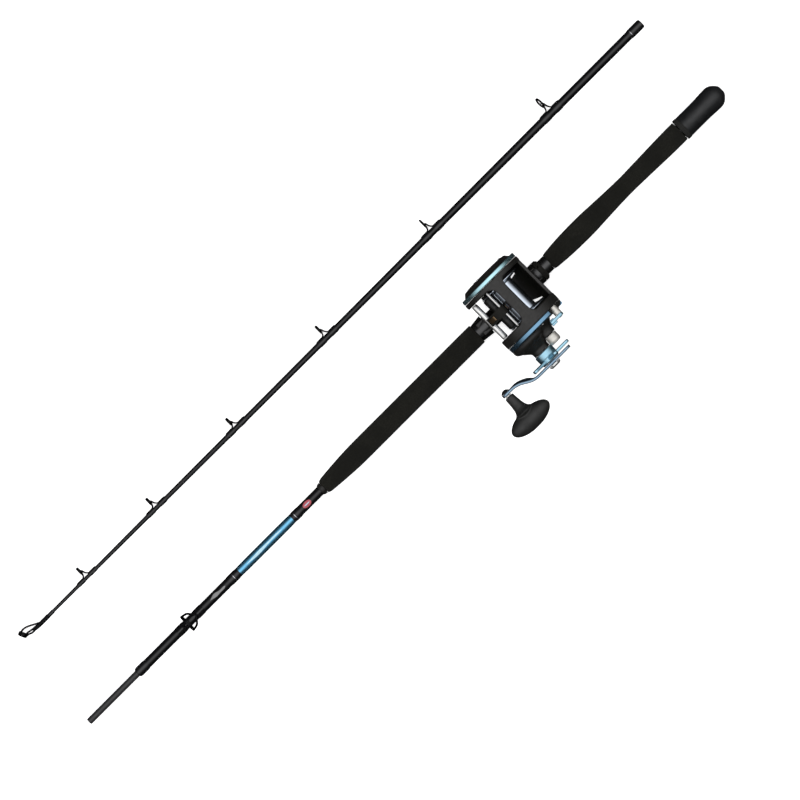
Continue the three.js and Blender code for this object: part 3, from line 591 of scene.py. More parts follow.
def decal(name, x0, x1, half_width, material, lift, rows=40, columns=12):
    """A thin printed mark round the top of the blank. half_width(s) is in mm, s from 0 to 1."""
    verts, faces = [], []
    for level in (lift - 0.05, lift):
        for i in range(rows + 1):
            x = x0 + (x1 - x0) * i / rows
            radius = butt_r(x) + level
            low, high = half_width(i / rows)
            for k in range(columns + 1):
                angle = pi / 2 + (low + (high - low) * k / columns) / radius
                verts.append(BUTT + Vector((x, cos(angle) * radius, sin(angle) * radius)) * MM)
    size = (rows + 1) * (columns + 1)
    for i in range(rows):
        for k in range(columns):
            a = i * (columns + 1) + k
            faces.append((a, a + columns + 1, a + columns + 2, a + 1))
            faces.append((size + a, size + a + 1, size + a + columns + 2, size + a + columns + 1))
    edge = [i * (columns + 1) for i in range(rows + 1)]
    for start in (edge, [e + columns for e in edge]):
        faces.extend((a, b, b + size, a + size) for a, b in zip(start, start[1:]))
    return new_piece(name, verts, faces, material, "root")


def oval(size):
    def edges(s):
        width = size * sqrt(max(1 - (2 * s - 1) ** 2, 0.0004))
        return -width, width
    return edges


def streak(size, lean):
    """A long leaf shape, the plain stand-in for a printed name."""
    def edges(s):
        width = size * sin(pi * s) ** 0.7 * (0.75 + 0.25 * cos(9 * s))
        middle = lean * sin(2 * pi * s)
        return middle - width, middle + width
    return edges


decal("band_streak", 220, 283, streak(2.1, 0.35), MARK_PALE, 0.42)
decal("red_oval", 168.5, 181.5, oval(4.1), MARK_RED, 0.12)
decal("red_oval_line", 170.6, 179.4, oval(0.55), MARK_PALE, 0.18)
decal("silver_leaf", 320.5, 347, streak(2.9, -0.5), MARK_SILVER, 0.12)


# ---- line guides and the tip section -------------------------------------
def torus_mesh(center, first, second, ring_r, wire_r, depth=1.0, segments=64, sides=16):
    """A ring in the plane of first and second; depth stretches its section across that plane."""
    normal = first.cross(second)
    loops = []
    for a in round_turn(segments):
        out = first * cos(a) + second * sin(a)
        loops.append([center + (out * (ring_r + wire_r * cos(b)) + normal * wire_r * depth * sin(b)) * MM
                      for b in round_turn(sides)])
    verts, faces = skin(loops, caps=False)
    last = (segments - 1) * sides
    faces += [(last + k, last + (k + 1) % sides, (k + 1) % sides, k) for k in range(sides)]
    return verts, faces


def guide(label, node, body, origin, up, side, x, height, ring_r, wire, radius_at, front, rear, foot,
          ring_node=None, cant=0.0, deep=1.7):
    """A two-footed wire guide: a ring on four legs whose flattened feet lie under the wraps.
    Lengths are in mm. front and rear are where its feet start, cant turns the ring about `up`."""
    def at(along, across_it, above):
        return origin + Vector((along * MM, 0, 0)) + side * across_it * MM + up * above * MM

    foot_front, foot_rear = radius_at(front) + 0.15, radius_at(rear) + 0.15
    level = (side * cos(cant) + Vector((sin(cant), 0, 0))).normalized()
    meshes = [torus_mesh(at(x, 0, height), level, up, ring_r + wire * 0.22, wire * 0.82, deep)]
    front_leg = [(x + 0.2, ring_r * 0.6, height - ring_r * 0.86),
                 (x + (front - x) * 0.2, ring_r * 0.45, (height - ring_r + foot_front) / 2 + 0.5),
                 (front, wire, foot_front + wire * 0.5),
                 (front + foot * 0.5, wire * 0.45, foot_front),
                 (front + foot, 0, foot_front - 0.05)]
    rear_leg = [(x - 0.2, ring_r - wire * 0.35, height - ring_r * 0.12),
                (x - 2.2, ring_r - wire * 0.35, height - ring_r * 0.42),
                (x + (rear - x) * 0.55, ring_r * 0.78, (height - ring_r * 0.5 + foot_rear) / 2),
                (rear, wire * 0.9, foot_rear + wire * 0.4),
                (rear - foot * 0.5, wire * 0.4, foot_rear),
                (rear - foot, 0, foot_rear - 0.05)]
    legs = ((front_leg, lambda t: wire * (1.25 - 0.9 * t ** 2)),
            (rear_leg, lambda t: wire * (1.1 - 0.7 * t ** 3)))
    for s in (-1, 1):
        for rows, radius in legs:
            places = [at(along, s * beside, above) for along, beside, above in rows]
            meshes.append(wire_mesh(places, radius, 10))
    new_piece(label + "_wire_frame", *merge_meshes(meshes), WIRE, body, node)
    lining = torus_mesh(at(x, 0, height), level, up, ring_r - wire * 0.75, wire * 0.62, deep * 1.3)
    new_piece(label + "_polished_ring", *lining, RING_INSERT, body, ring_node or ())
    toward = pi / 2 if up.z > 0.5 else pi
    spans = [(front - 0.6, front + foot + 1.8), (rear - foot - 1.8, rear + 0.6)]
    wrap(label + "_wraps", spans, radius_at, origin, body, shape=humped(toward, wire * 0.75))


UP, ALONG_Y = Vector((0, 0, 1)), Vector((0, 1, 0))
strip_lo, strip_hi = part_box("stripper_guide_ring")
strip_x = (strip_lo.x + strip_hi.x) / 2 / MM
strip_z = ((strip_lo.z + strip_hi.z) / 2 - ROD.z) / MM
guide("stripper", "stripper_guide_frame", "root", BUTT, UP, ALONG_Y, strip_x, strip_z, 11.2, 1.35, butt_r,
      strip_x + 5.5, strip_x - 14, 11, "stripper_guide_ring")
wrap("ferrule_end_wrap", [(SHOULDER - 17, SHOULDER - 0.9)], butt_r, BUTT, "root", thick=0.62)

socket_end = TIP_REAR + 88
tip_profile = [(socket_end, 0), (socket_end, 4.75), (TIP_REAR, 4.75), (TIP_REAR, 5.3), (TIP_REAR + 0.6, 5.65)]
tip_profile += [(x, tip_r(x)) for x in range(-540, 521, 20) if x < TIP_FRONT]
tip_profile += [(TIP_FRONT, 1.9), (TIP_FRONT, 0)]
lathe("painted_tip_blank", tip_profile, "x", LEFT_ROD, BLANK,
      "tip_section", "tip_blank", segments=72, corner=0.2)
sleeve_lo, sleeve_hi = ends("ferrule_sleeve")
lathe("ferrule_sleeve_wrap",
      [(sleeve_lo, 5.75), (sleeve_lo + 0.2, 6.05), (sleeve_lo + 1.6, 6.32), (sleeve_hi - 5, 6.3),
       (sleeve_hi - 1.2, 6.05), (sleeve_hi, 5.7)],
      "x", LEFT_ROD, THREAD, "tip_section", "ferrule_sleeve", corner=0.5)
wrap("ferrule_silver_thread", [(sleeve_hi - 3.6, sleeve_hi - 2.7)], lambda x: 6.12, LEFT_ROD, "tip_section",
     SILVER_THREAD, 0.12)

TIP_GUIDE_CANTS = (-0.22, -0.03, -0.03, -0.1, -0.1, -0.1)   # radians, from square to the rod
for number in range(1, 7):
    lo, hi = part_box(f"guide_{number}")
    ring_x = hi.x / MM - 12.5
    outer = (hi.z - lo.z) / 2 / MM
    reach = (TIP.y - lo.y) / MM
    guide(f"tip_guide_{number}", f"guide_{number}", "tip_section", LEFT_ROD, Vector((0, -1, 0)), UP, ring_x,
          reach - outer, outer - 0.94, 0.88, tip_r, ring_x + 2.5, ring_x - 6.5, 10,
          cant=TIP_GUIDE_CANTS[number - 1], deep=1.7 if number < 3 else 2.3)


def tip_top():
    ring = middle("tip_top_ring")
    tube_lo = ends("tip_top_frame")[0]
    reach = (TIP.y - ring.y) / MM
    x = ring.x / MM

    lean = 0.42
    upward = Vector((sin(lean), -cos(lean), 0))
    center = LEFT_ROD + Vector((x, -reach, 0)) * MM

    def strut(rows, radius, s=1):
        """A wire through (along, sideways, above) places; along counts from the ring."""
        return wire_mesh([LEFT_ROD + Vector((x + along, -above, s * beside)) * MM
                          for along, beside, above in rows],
                         radius, 10)

    tube = soften([(tube_lo, 2.15), (tube_lo, 2.75), (tube_lo + 0.8, 2.95), (tube_lo + 15, 2.9),
                   (tube_lo + 22, 2.3), (tube_lo + 27, 1.7), (tube_lo + 28, 0)],
                  0.3)
    outer = [(1.3, 3.9, reach + 3.4), (-5, 3.9, reach + 4.5), (-10, 3.5, reach + 3.4), (-15, 2.9, 7.4),
             (-20, 2.1, 4.7), (-25.5, 1.1, 1.9)]
    inner = [(-1.5, 2.6, reach - 3.6), (-6, 2.5, 3.6), (-12, 2.1, 2.5), (-22, 1.4, 1.6)]
    below = [(-1.8, 0, reach - 4.6), (-6, 0, 1.0), (-10, 0, -0.6), (-16, 0, -0.7), (-22, 0, 0)]
    meshes = [torus_mesh(center, UP, upward, 5.0, 1.0, 3.0, 56, 14), turned_mesh(tube, "x", LEFT_ROD, 48)]
    for s in (-1, 1):
        meshes += [strut(outer, 1.2, s), strut(inner, 1.25, s)]
    meshes.append(strut(below, 1.2))
    new_piece("tip_top_wire_frame", *merge_meshes(meshes), WIRE, "tip_section", "tip_top_frame")
    lining = torus_mesh(center, UP, upward, 3.4, 0.75, 4.2, 56, 14)
    new_piece("tip_top_polished_ring", *lining, RING_INSERT, "tip_section", "tip_top_ring")
    wrap("tip_top_wrap", [(tube_lo - 9, tube_lo + 1.2)], tip_r, LEFT_ROD, "tip_section", thick=0.5)


tip_top()


# ---- reel: frame, plates and bars ----------------------------------------
PLATE_R = (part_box("reel_frame")[1].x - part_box("reel_frame")[0].x) / 2 / MM


def in_row(node):
    """A node's lowest and highest place along Y, in mm from the rod's axis."""
    lo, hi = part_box(node)
    return (lo.y - ROD.y) / MM, (hi.y - ROD.y) / MM


def arc_mesh(profile, origin, start, stop, segments=80):
    """A closed section swept round the Y axis between two angles, in degrees from the top towards +X."""
    along, first, second = AXES["y"]
    loops = []
    for k in range(segments + 1):
        a = radians(start + (stop - start) * k / segments)
        out = first * cos(a) + second * sin(a)
        loops.append([origin + along * place * MM + out * radius * MM for place, radius in profile])
    return skin(loops)


def crosspiece_mesh(rows, top, thick=3.8, columns=18, edge=0.8):
    """A curved bar between the frame rings. rows are (y, x from, x to), relative to the plates' axis."""
    loops = []
    for y, x0, x1 in rows:
        outer, inner = [], []
        for k in range(columns + 1):
            x = x0 + (x1 - x0) * k / columns
            near = min(x - x0, x1 - x)
            drop = edge * max(0.0, 1 - near / 1.2) ** 2
            height = sqrt(max(PLATE_R ** 2 - x * x, 0.01)) - drop
            low = sqrt(max((PLATE_R - thick) ** 2 - x * x, 1.0)) + drop * 0.6
            outer.append(PLATE_AT + Vector((x, y, height * top)) * MM)
            inner.append(PLATE_AT + Vector((x, y, min(low, height - 0.8) * top)) * MM)
        loops.append(outer + inner[::-1])
    return skin(loops)


SHARP_EDGE = 28     # degrees; edges sharper than this are rounded


def refined(name, node, material, width, steps):
    """A CAD piece with its edges rounded."""
    source = frame["nodes"][node]
    bm = bmesh.new()
    bm.from_mesh(source.data)
    bmesh.ops.remove_doubles(bm, verts=bm.verts, dist=1e-6)
    bmesh.ops.dissolve_limit(bm, angle_limit=radians(2), verts=bm.verts, edges=bm.edges)
    edges = [e for e in bm.edges if len(e.link_faces) == 2 and e.calc_face_angle(0) > radians(SHARP_EDGE)]
    bmesh.ops.bevel(bm, geom=edges, offset=width * MM, segments=steps, profile=0.5, affect="EDGES",
                    clamp_overlap=True)
    mesh = bpy.data.meshes.new(name)
    bm.to_mesh(mesh)
    bm.free()
    verts = [v.co.copy() for v in mesh.vertices]
    faces = [tuple(p.vertices) for p in mesh.polygons]
    bpy.data.meshes.remove(mesh)
    return new_piece(name, verts, faces, material, source["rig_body"], node, 30)


tube_from, tube_to = in_row("worm_tube")
LEFT_IN, RIGHT_IN = tube_from - 0.3, tube_to + 0.3     # the inner faces of the frame's rings
LEFT_OUT, RIGHT_OUT = -35, 42     # and their outer ones
RING_BORE, RING_EDGE, TRIM_BORE = 31.2, 44, 38.9
ring_left = soften([(LEFT_OUT, RING_BORE), (LEFT_OUT, RING_EDGE), (-34.2, PLATE_R), (-29, PLATE_R),
                    (LEFT_IN, RING_EDGE), (LEFT_IN, RING_BORE)],
                   0.5, closed=True)
ring_right = soften([(RIGHT_IN, RING_BORE), (RIGHT_IN, RING_EDGE), (30.6, PLATE_R), (RIGHT_OUT, PLATE_R),
                     (RIGHT_OUT, RING_BORE)],
                    0.5, closed=True)
STEPS = [LEFT_IN - 1.5 + (RIGHT_IN - LEFT_IN + 3) * i / 40 for i in range(41)]


def flare(y, amount, reach=2.6):
    """Extra width where a crosspiece meets a frame ring."""
    return amount * (exp(-max(y - LEFT_IN, 0) / reach) + exp(-max(RIGHT_IN - y, 0) / reach))


# The frame's floor is in two strips that part at two slanted drain slots.
rear_edge = line([(-30, -29), (-20.3, -29), (-17.5, -16.2), (17, -16), (24.6, -33), (32, -33.4)])
front_edge = line([(-30, -31), (-22.6, -30), (-22.4, -22), (-20, -17), (21.9, -17), (24.8, -26),
                   (25.4, -33.5), (32, -34)])
FLOOR_STEPS = sorted(STEPS + [-22.6, -22.4, -20.3, -20, -17.5, 17, 21.9, 24.6, 24.8, 25.4])

frame_parts = [turned_mesh(ring_left, "y", PLATE_AT, 128, closed=True),
               turned_mesh(ring_right, "y", PLATE_AT, 128, closed=True),
               crosspiece_mesh([(y, -9.8 - flare(y, 5.2), 5 + flare(y, 8)) for y in STEPS], 1),
               crosspiece_mesh([(y, front_edge(y), 17) for y in FLOOR_STEPS], -1, edge=0.3),
               crosspiece_mesh([(y, -43.2, rear_edge(y)) for y in FLOOR_STEPS], -1, edge=0.3),
               crosspiece_mesh([(y, 15, 36) for y in (-9.4, -8.8, -4, 0, 4, 8.8, 9.4)], -1),
               prism_mesh([(2, -44.4), (11, -43.4), (11, -40.4), (2, -40.4)], "y", LEFT_IN - 1, RIGHT_IN + 1,
                          PLATE_AT, 0.7, 3)]
new_piece("cast_reel_frame", *merge_meshes(frame_parts), GRAPHITE, "root", "reel_frame")

left_face = [(-47.8, 0), (-47.75, 12), (-47.3, 12.6), (-47.3, 13.6), (-47.7, 14.2), (-47.5, 22), (-47.1, 28),
             (-46.2, 34), (-45.6, 34.8), (-41.4, 38.5), (-35.3, 38.6), (-35.3, 35.8), (-43.4, 35.8),
             (-43.4, 0)]
lathe("left_palm_plate", left_face, "y", PLATE_AT, GRAPHITE, "root", "left_side_plate", 128, corner=0.5)
trim_left = soften([(-41, TRIM_BORE), (-41, 43.7), (-40.3, 44.6), (-36, 44.7), (-35.3, 44.1),
                    (-35.3, TRIM_BORE)],
                   0.5, 4, closed=True)
new_piece("left_anodised_ring", *turned_mesh(trim_left, "y", PLATE_AT, 128, closed=True), TEAL, "root",
          "left_trim_ring")
trim_right = soften([(42.3, TRIM_BORE), (42.3, 44.3), (43, 44.7), (47.4, 44.6), (48.5, 43.6),
                     (48.5, TRIM_BORE)],
                    0.5, 4, closed=True)
GAP_FROM, GAP_TO = -84, -32
POST_FROM = -58
new_piece("right_anodised_ring", *arc_mesh(trim_right, PLATE_AT, GAP_TO, 360 + GAP_FROM, 120), BLUE, "root",
          "right_trim_ring")
lug = soften([(42.1, 36), (42.1, 44.9), (44.6, 44.7), (47.9, 42.2), (47.9, 36)], 0.6, 4, closed=True)
new_piece("lever_side_lug", *arc_mesh(lug, PLATE_AT, GAP_FROM, POST_FROM, 20), GRAPHITE, "root")


def lever_notch(angle, place, radius):
    """Cuts the plate's disc away over the clutch lever's post, in from its rim."""
    if sin(angle) > -0.1 or cos(angle) < 0:
        return radius
    beside, below = 8, 5.3      # how far the cut reaches from the post's axis
    side = (LEVER_AT.x - PLATE_AT.x) / MM + beside
    floor = (LEVER_AT.z - PLATE_AT.z) / MM - below
    return min(radius, max(side / sin(angle), floor / max(cos(angle), 1e-6)))


def inside_plate(limit):
    """Keeps the gearbox dome, which is turned about the crank's axis, inside the side plate's edge."""
    offset = (CRANK_AT - PLATE_AT) / MM

    def shape(angle, place, radius):
        along = offset.z * cos(angle) + offset.x * sin(angle)
        most = -along + sqrt(max(along * along - offset.x ** 2 - offset.z ** 2 + limit * limit, 0))
        return min(radius, most)
    return shape


disc = soften([(42.3, 0), (42.3, 38.6), (48.0, 38.6), (49.4, 37), (49.4, 30), (49.1, 29.4), (49.1, 0)], 0.4)
dome = soften([(46, 0), (46, 28.4), (51.3, 28.6), (53.4, 28.2), (55.6, 27.1), (57.3, 25.3), (58.7, 22.9),
               (59.4, 21.3), (60.1, 20.6), (61.2, 19.6), (65.5, 14.4), (67, 13.1), (67.6, 12.8), (67.9, 12.5),
               (68.6, 12.4), (73.5, 12.3), (73.8, 12), (73.8, 0)],
              0.5)
boss = soften([(46, 0), (46, 16), (50.4, 15), (53, 12.6), (56, 10.8), (60, 9.7), (64, 9.5), (65, 8.7),
               (65, 5.2), (69.6, 5.2), (70, 4.8), (70, 0)],
              0.5)
cover_parts = [turned_mesh(disc, "y", PLATE_AT, 240, shape=lever_notch),
               turned_mesh(dome, "y", CRANK_AT, 112, shape=inside_plate(44.3)),
               turned_mesh(boss, "y", SPOOL_AT, 72)]
new_piece("gearbox_cover", *merge_meshes(cover_parts), GRAPHITE, "root", "right_side_plate")


def screw_mesh(center, face, out, head_r=2.1):
    """A domed screw head with a cross recess, its face at y = face and pointing along out (+1 or -1)."""
    profile = [(-0.4 * out, 0.0), (-0.4 * out, head_r), (0.25 * out, head_r), (0.75 * out, head_r * 0.72),
               (0.8 * out, head_r * 0.55), (0.3 * out, head_r * 0.34), (0.25 * out, 0.0)]

    def slotted(angle, place, radius):
        crossed = abs(cos(2 * angle)) ** 6
        return radius * (0.62 + 0.55 * crossed) if radius < head_r * 0.6 else radius
    return turned_mesh(profile, "y", center + Vector((0, face * MM, 0)), 48, shape=slotted)


def round_plate(angle, radius):
    a = radians(angle)
    return PLATE_AT + Vector((sin(a), 0, cos(a))) * radius * MM


new_piece("left_plate_screws",
          *merge_meshes([screw_mesh(round_plate(a, 27), -47.25, -1) for a in (25, 145, 265)]), STEEL, "root")
new_piece("right_plate_screws",
          *merge_meshes([screw_mesh(round_plate(a, 34.5), 49.4, 1, 1.9) for a in (-12, 196, 246)]), STEEL,
          "root")


def rod_between(name, node, origin, radius, material, neck):
    y0, y1 = in_row(node)
    profile = [(y0, 0), (y0, radius - neck), (y0 + 1.2, radius - neck), (y0 + 1.5, radius),
               (y1 - 1.5, radius), (y1 - 1.2, radius - neck), (y1, radius - neck), (y1, 0)]
    lathe(name, profile, "y", origin, material, "root", node, 64, corner=0.25)


rod_between("front_pillar", "front_bar", FRONT_AT, 4.0, STEEL, neck=0.35)
rod_between("line_guide_rail", "guide_rail", RAIL_AT, 1.5, SATIN_STEEL, neck=0.12)
tube_section = soften([(LEFT_IN + 0.3, 3.6), (LEFT_IN + 0.3, 4.6), (-22, 4.6), (-22, 5.8), (-21.4, 6.4),
                       (25.2, 6.4), (25.8, 5.8), (25.8, 4.6), (RIGHT_IN - 0.3, 4.6), (RIGHT_IN - 0.3, 3.6)],
                      0.3, closed=True)
new_piece("slotted_worm_tube", *arc_mesh(tube_section, WORM_AT, -148, 148, 56), GRAPHITE, "root", "worm_tube")


def crossed_grooves(pitch, depth, low, high):
    def shape(angle, place, radius):
        if radius < 2.5 or not low < place < high:
            return radius
        turn = 2 * pi * place / pitch
        return radius - depth * max(max(0, cos(angle - turn)) ** 8, max(0, cos(angle + turn)) ** 8)
    return shape


worm_lo, worm_hi = in_row("worm_shaft")
worm_profile = [(worm_lo, 0), (worm_lo, 2.1), (-36, 2.1), (-36, 3.0)]
worm_profile += [(-36 + (worm_hi + 36) * k / 150, 3.0) for k in range(1, 150)]
worm_profile += [(worm_hi, 3.0), (worm_hi, 0)]
lathe("crossed_worm", worm_profile, "y", WORM_AT, STEEL, "worm", "worm_shaft", 40, corner=0,
      shape=crossed_grooves(11, 0.7, -26, 27))

spool_profile = [(-25, 2.4), (-25, 8), (-24.7, 24), (-24.9, 28.4), (-24.5, 29.8), (-23.9, 30), (-23.2, 29.9),
                 (-22.6, 29.2), (-22.2, 26), (-20.9, 17.2), (-20.2, 16.2), (-19.4, 16), (23.4, 16),
                 (24.2, 16.2), (24.9, 17.2), (26.2, 26), (26.5, 29.2), (27.0, 29.9), (27.6, 30), (28.2, 29.6),
                 (28.4, 24), (28.7, 8), (28.7, 2.4)]
lathe("polished_spool", spool_profile, "y", SPOOL_AT, SPOOL_METAL, "spool", "spool", 128, closed=True,
      corner=0.2)

refined("level_wind_carriage", "line_guide", DULL_GRAPHITE, 0.5, 3)
refined("line_guide_lining", "line_guide_insert", BRONZE, 0.35, 3)
guide_top = Vector((0, ROD.y, 0))
inlay = soften([(77.2, -149.0), (77.6, -148.6), (86.2, -155.8), (85.6, -157.4), (84.2, -156.6)], 0.3, 3,
               closed=True)
inlay = [(z + ROD.z / MM, x) for z, x in inlay]
new_piece("line_guide_top_inlay", *prism_mesh(inlay, "y", -1.2, 5.2, guide_top, 0.5, 3), BRONZE, "line_guide")
refined("level_wind_pin", "level_wind_pawl", STEEL, 0.2, 2)
for gear_node in ("drive_gear", "pinion"):
    refined("cut_" + gear_node, gear_node, BRASS, 0.08, 1)
for gear_node in ("spool_cog", "idler_gear", "worm_gear"):
    refined("moulded_" + gear_node, gear_node, GEAR_PLASTIC, 0.08, 1)

refined("reel_mounting_foot", "reel_foot", GRAPHITE, 0.8, 4)
refined("reel_seat_tube", "reel_seat_body", SEAT_GRAPHITE, 0.3, 2)
refined("fixed_seat_hood", "seat_front_hood", SEAT_GRAPHITE, 0.7, 4)
refined("sliding_seat_hood", "seat_sliding_hood", SEAT_GRAPHITE, 0.7, 4)
refined("notched_lock_nut", "seat_lock_nut", DULL_GRAPHITE, 0.5, 3)


# ---- reel: inner turned parts and the crank side -------------------------
def turned_part(name, node, origin, bore, material):
    """A turned part with chamfered edges; its length and radius come from the CAD node."""
    lo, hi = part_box(node)
    radius = (hi.z - lo.z) / 2 / MM
    y0, y1 = in_row(node)
    chamfer = min(0.4, (y1 - y0) / 5)
    profile = [(y0, bore), (y0, radius - chamfer), (y0 + chamfer, radius), (y1 - chamfer, radius),
               (y1, radius - chamfer), (y1, bore)]
    lathe(name, profile, "y", origin, material, frame["nodes"][node]["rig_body"], node, 64, closed=bore > 0,
          corner=0)


turned_part("polished_spool_shaft", "spool_shaft", SPOOL_AT, 0, STEEL)
turned_part("left_ball_bearing", "spool_bearing_left", SPOOL_AT, 2.5, STEEL)
turned_part("right_ball_bearing", "spool_bearing_right", SPOOL_AT, 2.5, STEEL)
turned_part("carbon_drag_washer", "drag_washer", CRANK_AT, 3.9, DRAG)
turned_part("drag_pressure_plate", "pressure_plate", CRANK_AT, 3.9, STEEL)
turned_part("anti_reverse_bearing", "roller_clutch", CRANK_AT, 3.9, STEEL)
turned_part("threaded_drive_shaft", "drive_shaft", CRANK_AT, 0, STEEL)
turned_part("lever_pivot_post", "lever_post", LEVER_AT, 0, SILVER)
turned_part("knob_seat_washer", "knob_washer", KNOB_AT, 2.8, STEEL)


def arm_outline(angle):
    """One arm of the star wheel, as (z, x) places round the crank's axis."""
    side = [(8, 6.6), (13, 5.4), (20, 4.1), (26, 3.7), (29, 3.7), (31.3, 3.2), (32.6, 1.9), (33, 0)]
    whole = side + [(u, -v) for u, v in side[-2::-1]]
    return [(u * sin(angle) + v * cos(angle), -u * cos(angle) + v * sin(angle)) for u, v in whole]


star_lo, star_hi = in_row("star_drag_wheel")
hub = soften([(star_lo, 3.9), (star_lo, 12.9), (star_lo + 0.9, 13.7), (star_lo + 8.6, 13.7),
              (star_lo + 9.3, 13.2), (star_lo + 14.4, 13.2), (star_lo + 15, 12.6), (star_hi, 12.2),
              (star_hi, 3.9)],
             0.4, closed=True)
star_parts = [turned_mesh(hub, "y", CRANK_AT, 128, closed=True)]
star_parts += [prism_mesh(arm_outline(2 * pi * i / 5), "y", star_lo + 9.6, star_lo + 14, CRANK_AT, 1.3, 4)
               for i in range(5)]
new_piece("star_drag_wheel_machined", *merge_meshes(star_parts), BLUE_STAR, "star_wheel", "star_drag_wheel")


def crank_arm():
    """A flat bar bent towards the reel between the shaft and the knob, thicker inside the bend."""
    path = smooth_profile([(-199.5, 92.2), (-170, 92.2), (-147, 92.1), (-140, 91.6), (-135, 90.3),
                           (-130, 87.8), (-125, 84.8), (-120, 82.2), (-115, 80.7), (-109, 79.9),
                           (-93.8, 79.8)],
                          10)
    rear_r, front_r = 6.0, 6.2              # the bar's rounded ends
    rear, front = -193.5, -100.0            # their centres
    xs = [rear - rear_r * cos(pi / 2 * k / 8) for k in range(8)]
    xs += [x for x, y in path if rear <= x <= front]
    xs += [front + front_r * sin(pi / 2 * k / 8) for k in range(1, 9)]
    center_y = line(path)
    wide = line([(rear, rear_r), (CRANK_AT.x / MM, 8.0), (KNOB_AT.x / MM, front_r)])
    swell = line([(-141, 0), (-138, 0.5), (-135, 2.0), (-130, 3.4), (-125, 3.1), (-120, 2.4), (-115, 1.7),
                  (-110, 0.7), (-104, 0.3), (-93, 0.3)])
    loops = []
    for x in xs:
        if x < rear:
            half = sqrt(max(rear_r ** 2 - (x - rear) ** 2, 0.02))
        elif x > front:
            half = sqrt(max(front_r ** 2 - (x - front) ** 2, 0.02))
        else:
            half = wide(x)
        ahead, behind = min(x + 0.2, path[-1][0]), max(x - 0.2, path[0][0])
        slope = Vector((0.4, center_y(ahead) - center_y(behind))).normalized()
        normal = Vector((-slope.y, slope.x))
        inner = swell(x) * min(1, half / 5) if x > -141 else 0
        ease = min(1, half / 3)
        upper = [(1.95, half * 0.3), (1.95, half - 1.4 * ease), (1.75, half - 0.6 * ease),
                 (1.2, half - 0.12 * ease), (0.4, half), (-1.0, half), (-1.5, half - 0.35 * ease),
                 (-1.9 - inner * 0.1, half - 0.9 * ease - inner * 0.2),
                 (-1.95 - inner, half - 1.2 * ease - inner * 1.15), (-1.95 - inner, (half - inner) * 0.2)]
        section = upper + [(n, -out) for n, out in reversed(upper)]
        places = [(Vector((x, center_y(x))) + normal * n, out) for n, out in section]
        loops.append([Vector((p.x * MM, ROD.y + p.y * MM, CRANK_AT.z + out * MM)) for p, out in places])
    new_piece("bent_crank_arm", *skin(loops), BLUE_ARM, "crank", "crank_arm", sharp=50)


crank_arm()


def lobed(count, depth, low, high):
    def shape(angle, place, radius):
        return radius - depth * (0.5 + 0.5 * cos(count * angle)) if low < place < high else radius
    return shape


nut_lo, nut_hi = in_row("crank_nut")
lathe("crank_lock_nut",
      [(nut_lo, 0), (nut_lo, 8.7), (nut_lo + 0.4, 9), (nut_lo + 1.9, 8.8), (nut_lo + 2.5, 8.3),
       (nut_hi - 0.3, 6.9), (nut_hi, 6.4), (nut_hi, 0)],
      "y", CRANK_AT, SATIN_STEEL, "crank", "crank_nut", 96, corner=0.2,
      shape=lobed(8, 0.7, nut_lo + 0.2, nut_lo + 2.4), slot="silver_metal")
stud_lo, stud_hi = in_row("knob_stud")
lathe("knob_rivet",
      [(stud_lo, 0), (stud_lo, 1.4), (stud_lo + 0.5, 2.9), (stud_lo + 1.6, 4.4), (stud_lo + 2.8, 5.7),
       (stud_lo + 3.8, 6.5), (stud_lo + 3.8, 2.5), (stud_hi, 2.5), (stud_hi, 0)],
      "y", KNOB_AT, DARK_STEEL, "crank", "knob_stud", 72, corner=0.2)
cap_lo, cap_hi = in_row("cast_control_cap")
lathe("knurled_cast_cap",
      [(cap_lo + 5, 0), (cap_lo + 5, 5.6), (cap_lo, 5.6), (cap_lo, 7.9), (cap_lo + 0.5, 8.2),
       (cap_lo + 1.2, 8.25), (cap_hi - 3, 8.25), (cap_hi - 2.4, 8.0), (cap_hi - 0.8, 7.5), (cap_hi, 6.4),
       (cap_hi, 2.2), (cap_hi - 0.4, 1.6), (cap_hi - 0.4, 0)],
      "y", SPOOL_AT, SILVER, "cast_cap", "cast_control_cap", 160, corner=0.2,
      shape=lobed(32, 0.3, cap_lo + 1.3, cap_hi - 3.2))


def clutch_lever():
    lever_lo, lever_hi = in_row("clutch_lever")
    hub_r, end_r, end_x, end_z = 5, 3.5, 13, 5
    rim = [(hub_r * cos(a), hub_r * sin(a)) for a in (pi * (0.6 + 1.15 * k / 16) for k in range(17))]
    rim += [(end_x + end_r * cos(a), end_z + end_r * sin(a))
            for a in (pi * (-0.5 + k / 12) for k in range(13))]
    rim += [(8, 7.6), (3, 6)]
    pad = soften([(7.5, 1.5), (15.8, 2.4), (15.8, 7.6), (7.5, 6.6)], 1.2, 4, closed=True)
    heel = [(8.6, 2.6), (14.6, 3.2), (14.6, 6.8), (8.6, 6.2)]
    parts = []
    for outline, low, high, bevel in ((rim, lever_lo, lever_lo + 4.3, 0.9),
                                      (pad, lever_lo + 3.5, lever_hi, 0.8),
                                      (heel, lever_lo - 1.6, lever_lo + 0.6, 1.1)):
        parts.append(prism_mesh([(z, x) for x, z in outline], "y", low, high, LEVER_AT, bevel, 4))
    parts.append(screw_mesh(LEVER_AT, lever_lo + 4.3, 1, 2.4))
    new_piece("clutch_lever_thumb_bar", *merge_meshes(parts), BLUE_STAR, "clutch_lever", "clutch_lever")


clutch_lever()


